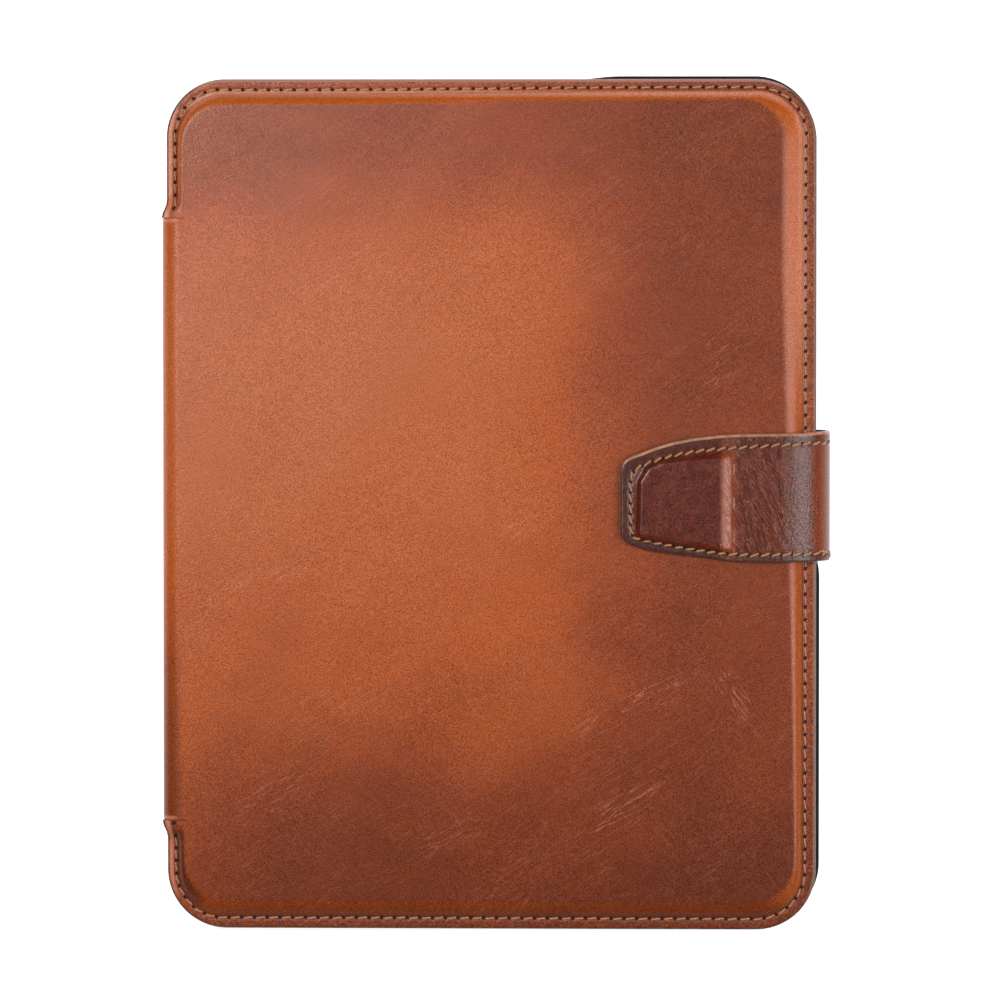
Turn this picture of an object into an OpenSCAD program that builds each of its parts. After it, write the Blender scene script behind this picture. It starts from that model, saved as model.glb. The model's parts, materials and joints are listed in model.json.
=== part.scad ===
// A 7-inch e-reader inside a leather folio cover, closed and lying on its back.
// The cover has a wrap-around spine on the left and a magnetic strap on the right.
// Millimetres. X runs from the spine to the strap, Y towards the top edge, Z out of the front cover.

/* [Cover leaves] */
// Width of each cover leaf
cover_w = 141.8; // [140:0.1:144]
// Height of each cover leaf
cover_h = 185.7; // [184:0.1:190]
// Corner radius of the leaves
corner_r = 13; // [11.5:0.5:13.5]
// How far the back leaf sits to the right of the front leaf
back_shift_x = 0.7; // [0:0.1:1]
// How far the back leaf sits above the front leaf
back_shift_y = 0.7; // [0:0.1:1]
// Leather thickness
leather_t = 1.2; // [1:0.1:1.4]
// Stiffening board thickness
board_t = 1.0; // [0.8:0.1:1.2]
// Lining thickness
lining_t = 0.6; // [0.5:0.1:0.7]
// Foam thickness under the raised panel
padding_t = 1.0; // [0.8:0.1:1.2]
// Flat margin between the edge and the raised panel
panel_margin = 2.8; // [2.7:0.1:3.2]
// Width of the slope round the raised panel
panel_slope = 2.8; // [2.4:0.1:3.4]
// Distance of the stitch line from the edge
stitch_in = 2.1; // [1.8:0.1:2.2]

/* [Spine] */
// Lower end of the spine, from the middle of the front leaf
spine_low = -69.1; // [-72:0.1:-60]
// Upper end of the spine
spine_high = 62.6; // [58:0.1:68]
// Outer radius of the spine's two folds
spine_fold_r = 3.7; // [3.4:0.1:3.8]
// How far the spine stands out past the front leaf's edge
spine_overhang = 1.0; // [0.6:0.1:1.4]

/* [Strap] */
// Lower edge of the strap, from the middle of the front leaf
strap_low = -12.3; // [-14:0.1:-11]
// Upper edge of the strap
strap_high = 15.6; // [14:0.1:17]
// How far the strap stands out past the front leaf's edge
strap_overhang = 3.0; // [2.8:0.1:3.6]
// Outer radius of the strap's two folds
strap_fold_r = 4.0; // [3.8:0.1:4.2]
// Length of the strap on the front leaf, from its upper fold to its end
strap_tip_l = 41.5; // [38:0.5:46]
// Height of the magnet pad above the strap
pad_rise = 1.1; // [0.8:0.1:1.1]

/* [Reader] */
// Body width
reader_w = 127.6; // [126:0.1:128]
// Body height
reader_h = 176.7; // [175:0.1:177]
// Body thickness
reader_t = 7.8; // [7.8:0.1:8.4]
// Body corner radius
reader_r = 8.5; // [7:0.5:10]
// Distance of the power button from the middle of the bottom edge
button_x = 24; // [20:1:30]
// How far the power button travels
button_travel = 0.3; // [0.2:0.05:0.3]

/* [Hidden] */
$fn = 64;
arc_steps = 8;
fit = 0.1;        // clearance between two fitted parts
clear = 0.3;      // clearance between bodies that move
lip = 0.4;        // flat end of a fold, next to the parts that it joins
over = 1;         // cutting tools run past a face by this much

// Levels above the rest plane
back_lining_top = leather_t + board_t + lining_t;
tray_floor_t = 1.2;
reader_z = back_lining_top + tray_floor_t;
reader_top = reader_z + reader_t;
tray_lip_t = 0.6;
tray_top = reader_top + fit + tray_lip_t;
lining_z = tray_top + clear;
margin_z = lining_z + lining_t;
margin_top = margin_z + leather_t;
cover_top = margin_z + board_t + padding_t + leather_t;
panel_rise = cover_top - margin_top;
front_half_h = cover_h / 2 - panel_margin;
corner_ease = 0.4;   // the panel's corners are rounder than the margin's by this much
panel_r = corner_r - panel_margin + corner_ease;

// Middle of the outer box
strap_x = cover_w + strap_overhang;
mid_x = (strap_x - spine_overhang) / 2;
mid_y = back_shift_y / 2;

// Folds
spine_fold_x = spine_fold_r - spine_overhang;
spine_fold_low = spine_fold_r;
spine_fold_high = cover_top - spine_fold_r;
skin_t = 0.5;     // thin lining inside the spine and the strap
spine_board_t = 0.6;
spine_skin_t = leather_t + skin_t;
hinge_x = spine_fold_x + lip;
fold_room = 1.7;
board_x = hinge_x + fold_room;   // the boards stop short of the folds
board_in = 3.5;            // and short of the other edges
strap_leather_t = 1.0;
strap_t = strap_leather_t + skin_t;
strap_fold_x = strap_x - strap_fold_r;
strap_fold_low = leather_t + clear + strap_fold_r;
strap_fold_high = cover_top + clear + strap_t - strap_fold_r;
strap_tip_z = strap_fold_high + strap_fold_r - strap_t;
strap_face_z = strap_tip_z + skin_t;
strap_top = strap_fold_high + strap_fold_r;
strap_w = strap_high - strap_low;
strap_mid = (strap_high + strap_low) / 2;
strap_tail_l = 22;
strap_tail_x = strap_fold_x - strap_tail_l;
strap_relief = 2;  // the back lining is cut back by this much round the strap's lower fold
strap_tail_t = 1.3;

// Stitching
thread_w = 0.6;
thread_h = 0.3;
groove_w = 0.8;
groove_h = 0.4;
strap_stitch = 1.5;

// Strap outline on the front leaf, from the upper fold's axis towards the strap's end
tip_x = strap_fold_x - strap_tip_l;
tip_r = 3.4;
tip_half = 6.6;
tip_mid = 0.75;
// Bends in its two sides: how far from the strap's end, and how far inside its full width
tip_upper = [[6, 5.05], [13, 1.6], [18.5, 0.6], [25, 0]];
tip_lower = [[25, 0], [17, 1.2], [6, 2.6]];

// Magnet pad
pad_in = 4.4;
pad_x = tip_x + pad_in;
pad_l = 20.5;
pad_slope = 1.6;
pad_end_slope = 3.1;
pad_half_near = 10.2;
pad_half_far = 6.6;
pad_mid = 0.1;
magnet_w = 12;
magnet_l = 13;
magnet_h = 1.2;
keeper_w = 15;
keeper_l = 16;
keeper_t = 0.6;

// Reader
reader_x = (cover_w + back_shift_x) / 2;
reader_y = back_shift_y / 2;
tray_wall = 1.5;
tray_gap = 0.2;
tray_lip = 1.0;
tray_w = reader_w + 2 * (tray_wall + tray_gap);
tray_h = reader_h + 2 * (tray_wall + tray_gap);
tray_r = reader_r + tray_wall + tray_gap;
notch_w = 66;
notch_low = 0.6;
notch_top = 1.0;
shell_wall = 2.2;
shell_rim = 1.0;
shell_floor = 1.0;
lens_t = 0.8;
seal_t = 0.3;
film_t = 0.25;
guide_t = 0.45;
panel_t = 0.7;
frame_t = 0.8;
lens_z = reader_top - lens_t;
ledge_z = lens_z - seal_t;
film_z = lens_z - film_t;
guide_z = film_z - guide_t;
panel_z = guide_z - panel_t;
frame_z = panel_z - frame_t;
floor_z = reader_z + shell_floor;
cavity_w = reader_w - 2 * shell_wall;
cavity_h = reader_h - 2 * shell_wall;
cavity_r = reader_r - shell_wall;
screen_w = 112;
screen_h = 150;
screen_y = 5;
bottom_y = -reader_h / 2;

// Ribbon to the display, and the lights along the display's lower edge
flex_x = -20;
flex_w = 26;
flex_t = 0.15;
flex_y = screen_y - screen_h / 2;
flex_drop = 5;
flex_room = 1;
led_count = 13;
led_pitch = 8;
led_w = 3;
led_l = 1.4;
led_h = 0.35;
led_strip_w = 102;
led_strip_l = 3;

// Main board and what sits on it
pcb_stand = 0.9;
pcb_z = floor_z + pcb_stand;
pcb_t = 0.8;
pcb_top = pcb_z + pcb_t;
pcb_left = -46;
pcb_right = 56;
pcb_in = 4.8;
pcb_low = bottom_y + pcb_in;
pcb_high = -50;
port_w = 8.94;
port_h = 3.2;
port_l = 7.3;
port_wall = 0.3;
port_lift = 0.4;
port_z = floor_z + port_lift + port_h / 2;
tongue_w = 6.7;
tongue_t = 0.7;
button_w = 9;
button_h = 2.2;
button_out = 0.5;
flange_w = 11.4;
flange_h = 3.0;
flange_t = 0.8;
switch_w = 4.6;
switch_l = 3;
switch_h = 1.8;
plunger_l = 0.5;
plunger_w = 1.6;
plunger_h = 0.8;
flange_y = bottom_y + shell_wall + fit;
switch_y = flange_y + flange_t + button_travel + fit;
shield_x = 24;
shield_y = -62;
shield_w = 26;
shield_l = 20;
shield_h = 1.5;
shield_r = 1;
sheet_t = 0.2;
sensor_x = 52;
sensor_y = -56;
sensor_w = 3;
sensor_h = 0.9;
sleep_magnet_r = 4;
plug_w = 8;
plug_l = 4;
plug_h = 1.3;
lead_w = 5;

// Battery
battery_w = 72;
battery_l = 96;
battery_h = 3.2;
battery_y = 12;
battery_r = 2;
glue_in = 4;
glue_t = 0.1;

// Screws
boss_r = 2.2;
frame_screw_x = 59;
frame_screw_y = [-72, -24, 24, 76];
frame_screw_r = 0.65;
frame_head_r = 1.2;
frame_head_h = 0.6;
frame_screw_l = 3.2;
board_boss_r = 1.8;
board_screw_r = 0.5;
board_head_r = 1.1;
board_head_h = 0.6;
board_screw_l = 1.5;
board_screws_at = [[-42, -54], [-42, -80], [44, -54], [44, -80]];

leather_c = [0.62, 0.33, 0.18];
dark_leather_c = [0.36, 0.15, 0.07];
lining_c = [0.08, 0.08, 0.09];
board_c = [0.55, 0.5, 0.42];
foam_c = [0.85, 0.84, 0.8];
thread_c = [0.8, 0.6, 0.42];
tray_c = [0.12, 0.12, 0.13];
shell_c = [0.16, 0.16, 0.17];
metal_c = [0.72, 0.72, 0.74];
glass_c = [0.75, 0.8, 0.82];
paper_c = [0.82, 0.82, 0.78];
pcb_c = [0.05, 0.25, 0.16];
copper_c = [0.75, 0.45, 0.2];
cell_c = [0.3, 0.3, 0.33];

// ---- Shared shapes ----

module in_frame() {
    translate([-mid_x, -mid_y, 0]) children();
}

// A rectangle with round corners, from its lower left corner
module rounded(w, h, r) {
    translate([r, 0]) square([w - 2 * r, h]);
    translate([0, r]) square([w, h - 2 * r]);
    for (x = [r, w - r], y = [r, h - r]) translate([x, y]) circle(r);
}

module rounded_mid(w, h, r) {
    translate([-w / 2, -h / 2]) rounded(w, h, r);
}

// A rounded slot outline, centred
module stadium(w, h) {
    square([w - h, h], center = true);
    for (x = [-1, 1]) translate([x * (w - h) / 2, 0]) circle(h / 2);
}

module slab(z, t) {
    translate([0, 0, z]) linear_extrude(t) children();
}

// A flat profile drawn in X and Z, run along Y from y1 to y2
module along_y(y1, y2) {
    translate([0, y2, 0]) rotate([90, 0, 0]) linear_extrude(y2 - y1) children();
}

// A flat profile drawn in Y and Z, run along X from x1 to x2
module along_x(x1, x2) {
    translate([x1, 0, 0]) rotate([90, 0, 90]) linear_extrude(x2 - x1) children();
}

// A leaf outline, inset by d
module leaf(d) {
    translate([d, d - cover_h / 2]) rounded(cover_w - 2 * d, cover_h - 2 * d, corner_r - d);
}

module back_place() {
    translate([back_shift_x, back_shift_y, 0]) children();
}

// The part of a leaf that is cut away beside the spine
module spine_gap(x) {
    translate([-over, spine_low - clear]) square([x + over, spine_high - spine_low + 2 * clear]);
}

// A stitch line of width w along the leaf's edge, left open where the spine joins
module stitch_line(w, gap) {
    difference() {
        leaf(stitch_in - w / 2);
        leaf(stitch_in + w / 2);
        translate([0, -gap]) spine_gap(corner_r);
        translate([0, gap]) spine_gap(corner_r);
    }
}

// A raised block with round corners and sloping sides, its foot at z
module raised(x1, x2, y1, y2, z) {
    for (x = [x1 + panel_r, x2 - panel_r], y = [y1 + panel_r, y2 - panel_r])
        translate([x, y, z]) cylinder(h = panel_rise, r1 = panel_r, r2 = panel_r - panel_slope);
    along_y(y1 + panel_r, y2 - panel_r)
        polygon([[x1, z], [x2, z], [x2 - panel_slope, z + panel_rise],
                 [x1 + panel_slope, z + panel_rise]]);
    along_x(x1 + panel_r, x2 - panel_r)
        polygon([[y1, z], [y2, z], [y2 - panel_slope, z + panel_rise],
                 [y1 + panel_slope, z + panel_rise]]);
}

// The raised panel of the front leaf, which runs on to the spine
module panel_block(z) {
    raised(panel_margin, cover_w - panel_margin, -front_half_h, front_half_h, z);
    intersection() {
        raised(-cover_w / 2, cover_w / 2, spine_low - panel_slope, spine_high + panel_slope, z);
        translate([0, -cover_h / 2, 0]) cube([cover_w / 2, cover_h, cover_top + over]);
    }
}

// A quarter of a tube about (x, z), between angles a and a + 90, with a short flat at each end
module fold(x, z, r, t, a, y1, y2) {
    along_y(y1, y2) translate([x, z]) rotate(a) {
        intersection() {
            difference() {
                circle(r);
                circle(r - t);
            }
            square(r + over);
        }
        translate([r - t, -lip]) square([t, lip]);
        translate([-lip, r - t]) square([lip, t]);
    }
}

// ---- Back leaf ----

module back_leather() {
    color(leather_c) in_frame() back_place() difference() {
        slab(0, leather_t) difference() {
            leaf(0);
            translate([-back_shift_x, -back_shift_y]) spine_gap(hinge_x);
        }
        slab(-over, groove_h + over) stitch_line(groove_w, back_shift_y);
    }
}

module back_board_outline(d) {
    difference() {
        translate([board_x - d, board_in - d - cover_h / 2])
            rounded(cover_w - board_x - board_in + 2 * d, cover_h - 2 * (board_in - d),
                    corner_r - board_in);
        translate([strap_tail_x - clear + d - back_shift_x, strap_low - clear + d - back_shift_y])
            square([cover_w, strap_w + 2 * (clear - d)]);
    }
}

module back_board() {
    color(board_c) in_frame() back_place() slab(leather_t, board_t) back_board_outline(0);
}

module back_lining() {
    tail_top = leather_t + strap_tail_t;
    color(lining_c) in_frame() difference() {
        back_place() difference() {
            slab(leather_t, board_t + lining_t) difference() {
                leaf(0);
                translate([-back_shift_x, -back_shift_y]) spine_gap(hinge_x);
            }
            slab(leather_t - over, board_t + over) back_board_outline(fit);
        }
        slab(leather_t - over, strap_tail_t + over)
            translate([strap_tail_x - fit, strap_low - fit]) square([cover_w, strap_w + 2 * fit]);
        slab(leather_t - over, cover_top)
            translate([strap_fold_x - strap_relief, strap_low - clear])
                square([cover_w, strap_w + 2 * clear]);
    }
}

module back_thread() {
    color(thread_c) in_frame() back_place()
        slab(fit / 2, thread_h) stitch_line(thread_w, back_shift_y + fit);
}

// ---- Tray and reader ----

module at_reader() {
    in_frame() translate([reader_x, reader_y, 0]) children();
}

module reader_tray() {
    color(tray_c) at_reader() difference() {
        slab(back_lining_top, tray_top - back_lining_top) rounded_mid(tray_w, tray_h, tray_r);
        slab(reader_z, reader_t + fit)
            rounded_mid(reader_w + 2 * tray_gap, reader_h + 2 * tray_gap, reader_r + tray_gap);
        slab(reader_z, tray_top)
            rounded_mid(reader_w - 2 * tray_lip, reader_h - 2 * tray_lip, reader_r - tray_lip);
        translate([-notch_w / 2, -tray_h / 2 - over, back_lining_top + notch_low])
            cube([notch_w, tray_wall + over + tray_gap / 2,
                  reader_top - back_lining_top - notch_low - notch_top]);
    }
}

module frame_screw_places() {
    for (x = [-1, 1], y = frame_screw_y) translate([x * frame_screw_x, y, 0]) children();
}

module board_screw_places() {
    for (p = board_screws_at) translate([p[0], p[1], 0]) children();
}

module reader_back_shell() {
    color(shell_c) at_reader() {
        difference() {
            slab(reader_z, reader_t) rounded_mid(reader_w, reader_h, reader_r);
            slab(floor_z, reader_t) rounded_mid(cavity_w, cavity_h, cavity_r);
            slab(ledge_z, reader_t)
                rounded_mid(reader_w - 2 * shell_rim, reader_h - 2 * shell_rim,
                            reader_r - shell_rim);
            along_y(bottom_y - over, bottom_y + shell_wall + over)
                translate([0, port_z]) stadium(port_w + 2 * fit, port_h + 2 * fit);
            along_y(bottom_y - over, bottom_y + shell_wall + over)
                translate([button_x, port_z]) stadium(button_w + 2 * fit, button_h + 2 * fit);
        }
        difference() {
            frame_screw_places() translate([0, 0, floor_z]) cylinder(h = frame_z - floor_z, r = boss_r);
            frame_screw_places() translate([0, 0, panel_z - frame_screw_l - fit])
                cylinder(h = frame_screw_l + over, r = frame_screw_r + fit / 2);
        }
        difference() {
            board_screw_places() translate([0, 0, floor_z]) cylinder(h = pcb_z - floor_z, r = board_boss_r);
            board_screw_places() translate([0, 0, pcb_top - board_screw_l - fit])
                cylinder(h = board_screw_l + over, r = board_screw_r + fit / 2);
        }
    }
}

module reader_midframe() {
    color(metal_c) at_reader() slab(frame_z, frame_t) difference() {
        rounded_mid(cavity_w - 2 * fit, cavity_h - 2 * fit, cavity_r - fit);
        frame_screw_places() circle(frame_screw_r + fit);
        translate([flex_x - flex_w / 2 - flex_room, flex_y - flex_drop - flex_room])
            square([flex_w + 2 * flex_room, 2 * flex_room]);
    }
}

module eink_panel() {
    color(paper_c) at_reader() slab(panel_z, panel_t)
        translate([-screen_w / 2, flex_y]) square([screen_w, screen_h]);
}

module front_light_guide() {
    color(glass_c) at_reader() slab(guide_z, guide_t)
        translate([-screen_w / 2, flex_y]) square([screen_w, screen_h]);
}

module touch_film() {
    color(glass_c) at_reader() slab(film_z, film_t)
        translate([-screen_w / 2, flex_y]) square([screen_w, screen_h]);
}

module cover_lens() {
    lens_w = reader_w - 2 * shell_rim - 2 * fit;
    lens_h = reader_h - 2 * shell_rim - 2 * fit;
    color(glass_c) at_reader() slab(lens_z, lens_t)
        rounded_mid(lens_w, lens_h, reader_r - shell_rim - fit);
}

module lens_seal() {
    seal_w = reader_w - 2 * shell_rim - 2 * fit;
    seal_h = reader_h - 2 * shell_rim - 2 * fit;
    color(lining_c) at_reader() slab(ledge_z, seal_t) difference() {
        rounded_mid(seal_w, seal_h, reader_r - shell_rim - fit);
        rounded_mid(cavity_w, cavity_h, cavity_r);
    }
}

module led_strip() {
    color(copper_c) at_reader() {
        translate([-led_strip_w / 2, flex_y - led_strip_l - fit, guide_z])
            cube([led_strip_w, led_strip_l, flex_t]);
        for (i = [0 : led_count - 1])
            translate([(i - (led_count - 1) / 2) * led_pitch - led_w / 2,
                       flex_y - led_l - 2 * fit, guide_z + flex_t])
                cube([led_w, led_l, led_h]);
    }
}

module display_flex() {
    color(copper_c) at_reader() translate([flex_x - flex_w / 2, flex_y - flex_drop, 0]) {
        translate([0, 0, panel_z]) cube([flex_w, flex_drop, flex_t]);
        translate([0, 0, pcb_top]) cube([flex_w, flex_t, panel_z + flex_t - pcb_top]);
        translate([0, 0, pcb_top]) cube([flex_w, flex_drop - flex_room, flex_t]);
    }
}

module battery() {
    color(cell_c) at_reader() slab(floor_z + glue_t, battery_h)
        translate([0, battery_y]) rounded_mid(battery_w, battery_l, battery_r);
}

module battery_adhesive() {
    color(thread_c) at_reader() slab(floor_z, glue_t)
        translate([0, battery_y]) square([battery_w - 2 * glue_in, battery_l - 2 * glue_in], center = true);
}

module battery_connector() {
    lead_end = battery_y - battery_l / 2;
    color(paper_c) at_reader() {
        translate([-plug_w / 2, pcb_high - plug_l - 1, pcb_top]) cube([plug_w, plug_l, plug_h]);
        translate([-lead_w / 2, pcb_high - 1, pcb_top + plug_h / 2])
            cube([lead_w, lead_end - pcb_high + 1, sheet_t]);
    }
}

module main_board() {
    cut_w = port_w + 2 * fit;
    color(pcb_c) at_reader() slab(pcb_z, pcb_t) difference() {
        translate([pcb_left, pcb_low]) square([pcb_right - pcb_left, pcb_high - pcb_low]);
        translate([-cut_w / 2, pcb_low - over])
            square([cut_w, port_l - pcb_in + over + sheet_t + fit]);
        board_screw_places() circle(board_screw_r + fit);
    }
}

module processor_shield() {
    color(metal_c) at_reader() translate([shield_x, shield_y, pcb_top]) difference() {
        slab(0, shield_h) rounded_mid(shield_w, shield_l, shield_r);
        slab(-over, shield_h - sheet_t + over)
            rounded_mid(shield_w - 2 * sheet_t, shield_l - 2 * sheet_t, shield_r - sheet_t);
    }
}

module usb_port() {
    port_y = bottom_y + sheet_t;
    port_back = port_y + port_l;
    color(metal_c) at_reader() {
        difference() {
            along_y(port_y, port_back) translate([0, port_z]) stadium(port_w, port_h);
            along_y(port_y - over, port_back - port_wall)
                translate([0, port_z]) stadium(port_w - 2 * port_wall, port_h - 2 * port_wall);
        }
        along_y(port_y + 1, port_back - port_wall)
            translate([0, port_z]) square([tongue_w, tongue_t], center = true);
    }
}

module power_switch() {
    color(metal_c) at_reader() {
        translate([button_x - switch_w / 2, switch_y + plunger_l, pcb_top])
            cube([switch_w, switch_l, switch_h]);
        along_y(switch_y, switch_y + plunger_l)
            translate([button_x, pcb_top + switch_h / 2]) square([plunger_w, plunger_h], center = true);
    }
}

module power_button() {
    color(shell_c) at_reader() {
        along_y(bottom_y - button_out, flange_y + flange_t)
            translate([button_x, port_z]) stadium(button_w, button_h);
        along_y(flange_y, flange_y + flange_t)
            translate([button_x, port_z]) stadium(flange_w, flange_h);
    }
}

module antenna() {
    antenna_w = 36;
    antenna_l = 8;
    antenna_in = 2;
    color(copper_c) at_reader() translate([-antenna_w / 2, cavity_h / 2 - antenna_l - antenna_in, floor_z])
        cube([antenna_w, antenna_l, sheet_t]);
}

module hall_sensor() {
    color(lining_c) at_reader() translate([sensor_x - sensor_w / 2, sensor_y - sensor_w / 2, pcb_top])
        cube([sensor_w, sensor_w, sensor_h]);
}

module screw(top, r, l, head_r, head_h) {
    translate([0, 0, top - l]) cylinder(h = l, r = r);
    translate([0, 0, top]) difference() {
        cylinder(h = head_h, r = head_r);
        translate([0, 0, head_h / 2]) cylinder(h = head_h, r = head_r / 2);
    }
}

module board_screws() {
    color(metal_c) at_reader() board_screw_places()
        screw(pcb_top, board_screw_r, board_screw_l, board_head_r, board_head_h);
}

module midframe_screws() {
    color(metal_c) at_reader() frame_screw_places()
        screw(panel_z, frame_screw_r, frame_screw_l, frame_head_r, frame_head_h);
}

// ---- Spine ----

module spine_wall(x, t) {
    in_frame() translate([x, spine_low, spine_fold_low + lip])
        cube([t, spine_high - spine_low, spine_fold_high - spine_fold_low - 2 * lip]);
}

module spine_leather() {
    color(leather_c) spine_wall(-spine_overhang, leather_t);
}

module spine_board() {
    color(board_c) spine_wall(-spine_overhang + leather_t, spine_board_t);
}

module spine_lining() {
    color(lining_c) spine_wall(-spine_overhang + leather_t + spine_board_t, skin_t);
}

module spine_back_fold() {
    color(leather_c) in_frame()
        fold(spine_fold_x, spine_fold_low, spine_fold_r, spine_skin_t, 180, spine_low, spine_high);
}

module spine_front_fold() {
    color(leather_c) in_frame()
        fold(spine_fold_x, spine_fold_high, spine_fold_r, spine_skin_t, 90, spine_low, spine_high);
}

// ---- Front leaf ----

module front_leather() {
    color(leather_c) in_frame() difference() {
        union() {
            slab(margin_z, leather_t) leaf(0);
            panel_block(margin_top);
        }
        panel_block(margin_z);
        slab(margin_z - over, panel_rise + leather_t + 2 * over) spine_gap(hinge_x);
        slab(margin_top - groove_h, panel_rise) stitch_line(groove_w, 0);
    }
}

module front_inset(x, d) {
    w = cover_w - panel_margin - d - x;
    translate([x, d - front_half_h]) rounded(w, 2 * (front_half_h - d), panel_r - d);
}

module front_board() {
    rise_share = board_t / panel_rise;
    color(board_c) in_frame() slab(margin_z, board_t) difference() {
        front_inset(board_x, panel_slope * rise_share + fit);
        translate([reader_x + sensor_x, reader_y + sensor_y]) circle(sleep_magnet_r + fit);
    }
}

module front_padding() {
    color(foam_c) in_frame() slab(margin_z + board_t, padding_t) difference() {
        front_inset(panel_margin + panel_slope + fit, panel_slope + fit);
        keeper_place() square([keeper_l + 2 * fit, keeper_w + 2 * fit], center = true);
    }
}

module front_lining() {
    wrap_w = board_x - hinge_x - fit;
    color(lining_c) in_frame() difference() {
        union() {
            slab(lining_z, lining_t) leaf(0);
            slab(margin_z, board_t + padding_t)
                translate([hinge_x, spine_low]) square([wrap_w, spine_high - spine_low]);
        }
        slab(lining_z - over, cover_top) spine_gap(hinge_x);
    }
}

module front_thread() {
    color(thread_c) in_frame()
        slab(margin_top - groove_h + fit / 2, thread_h) stitch_line(thread_w, fit);
}

module sleep_magnet() {
    color(metal_c) in_frame() slab(margin_z, board_t)
        translate([reader_x + sensor_x, reader_y + sensor_y]) circle(sleep_magnet_r);
}

module keeper_place() {
    translate([pad_x + pad_l / 2 - pad_slope / 2, pad_mid]) children();
}

module keeper_plate() {
    color(metal_c) in_frame() slab(margin_z + board_t, keeper_t) keeper_place()
        square([keeper_l, keeper_w], center = true);
}

// ---- Strap ----

// Points on a quarter circle about (x, y), from angle a1 to a2
function arc(x, y, r, a1, a2) = [
    for (i = [0 : arc_steps])
        let (a = a1 + (a2 - a1) * i / arc_steps) [x + r * cos(a), y + r * sin(a)]
];

// The strap's outline from its end to its upper fold, inset by d
module tip_outline(d) {
    end_x = strap_fold_x - lip;
    round_x = tip_x + tip_r;
    polygon(concat(
        arc(round_x, tip_mid - tip_half + tip_r, tip_r - d, 270, 180),
        arc(round_x, tip_mid + tip_half - tip_r, tip_r - d, 180, 90),
        [for (p = tip_upper) [tip_x + p[0], strap_high - p[1] - d]],
        [[end_x, strap_high - d], [end_x, strap_low + d]],
        [for (p = tip_lower) [tip_x + p[0], strap_low + p[1] + d]]
    ));
}

module strap_tail() {
    color(dark_leather_c) in_frame()
        translate([strap_tail_x, strap_low, leather_t])
            cube([strap_fold_x - lip - strap_tail_x, strap_w, strap_tail_t]);
}

module strap_lower_fold() {
    color(dark_leather_c) in_frame()
        fold(strap_fold_x, strap_fold_low, strap_fold_r, strap_t, 270, strap_low, strap_high);
}

module strap_upper_fold() {
    color(dark_leather_c) in_frame()
        fold(strap_fold_x, strap_fold_high, strap_fold_r, strap_t, 0, strap_low, strap_high);
}

module strap_wall(x, t) {
    in_frame() translate([x, strap_low, strap_fold_low + lip])
        cube([t, strap_w, strap_fold_high - strap_fold_low - 2 * lip]);
}

module strap_side_leather() {
    color(dark_leather_c) strap_wall(strap_x - strap_leather_t, strap_leather_t);
}

module strap_side_lining() {
    color(lining_c) strap_wall(strap_x - strap_t, skin_t);
}

// The pad's sloping sides are cut by one profile along each direction
module magnet_pad(z, rise) {
    end_x = pad_x + pad_l;
    intersection() {
        slab(z, rise) polygon([
            [pad_x, pad_mid - pad_half_far], [end_x, pad_mid - pad_half_near],
            [end_x, pad_mid + pad_half_near], [pad_x, pad_mid + pad_half_far]
        ]);
        along_y(strap_low, strap_high) polygon([
            [pad_x, z], [end_x, z], [end_x - pad_end_slope, z + rise], [pad_x + pad_slope, z + rise]
        ]);
    }
}

module magnet_box(d) {
    keeper_place() square([magnet_l + 2 * d, magnet_w + 2 * d], center = true);
}

module strap_stitches(w) {
    difference() {
        tip_outline(strap_stitch - w / 2);
        tip_outline(strap_stitch + w / 2);
        translate([strap_fold_x - lip - 1, strap_low]) square([strap_w, strap_w]);
    }
}

module strap_tip_leather() {
    color(dark_leather_c) in_frame() difference() {
        union() {
            slab(strap_face_z, strap_leather_t) tip_outline(0);
            magnet_pad(strap_top, pad_rise);
        }
        slab(strap_face_z - over, magnet_h + over + fit) magnet_box(fit);
        slab(strap_top - groove_h, groove_h + over) strap_stitches(groove_w);
    }
}

module strap_tip_lining() {
    color(lining_c) in_frame() slab(strap_tip_z, skin_t) tip_outline(0);
}

module strap_magnet() {
    color(metal_c) in_frame() slab(strap_face_z, magnet_h) magnet_box(0);
}

module strap_thread() {
    color(thread_c) in_frame()
        slab(strap_top - groove_h + fit / 2, thread_h) strap_stitches(thread_w);
}

back_leather();
back_board();
back_lining();
back_thread();
reader_tray();
reader_back_shell();
reader_midframe();
eink_panel();
front_light_guide();
touch_film();
cover_lens();
lens_seal();
battery();
battery_adhesive();
battery_connector();
main_board();
processor_shield();
usb_port();
power_switch();
power_button();
led_strip();
display_flex();
antenna();
hall_sensor();
board_screws();
midframe_screws();
spine_leather();
spine_board();
spine_lining();
spine_back_fold();
spine_front_fold();
front_leather();
front_board();
front_padding();
front_lining();
front_thread();
sleep_magnet();
keeper_plate();
strap_tail();
strap_lower_fold();
strap_side_leather();
strap_side_lining();
strap_upper_fold();
strap_tip_leather();
strap_tip_lining();
strap_magnet();
strap_thread();
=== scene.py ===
import json
import math

import bmesh
import bpy
import numpy as np
from mathutils import Matrix, Vector


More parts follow.
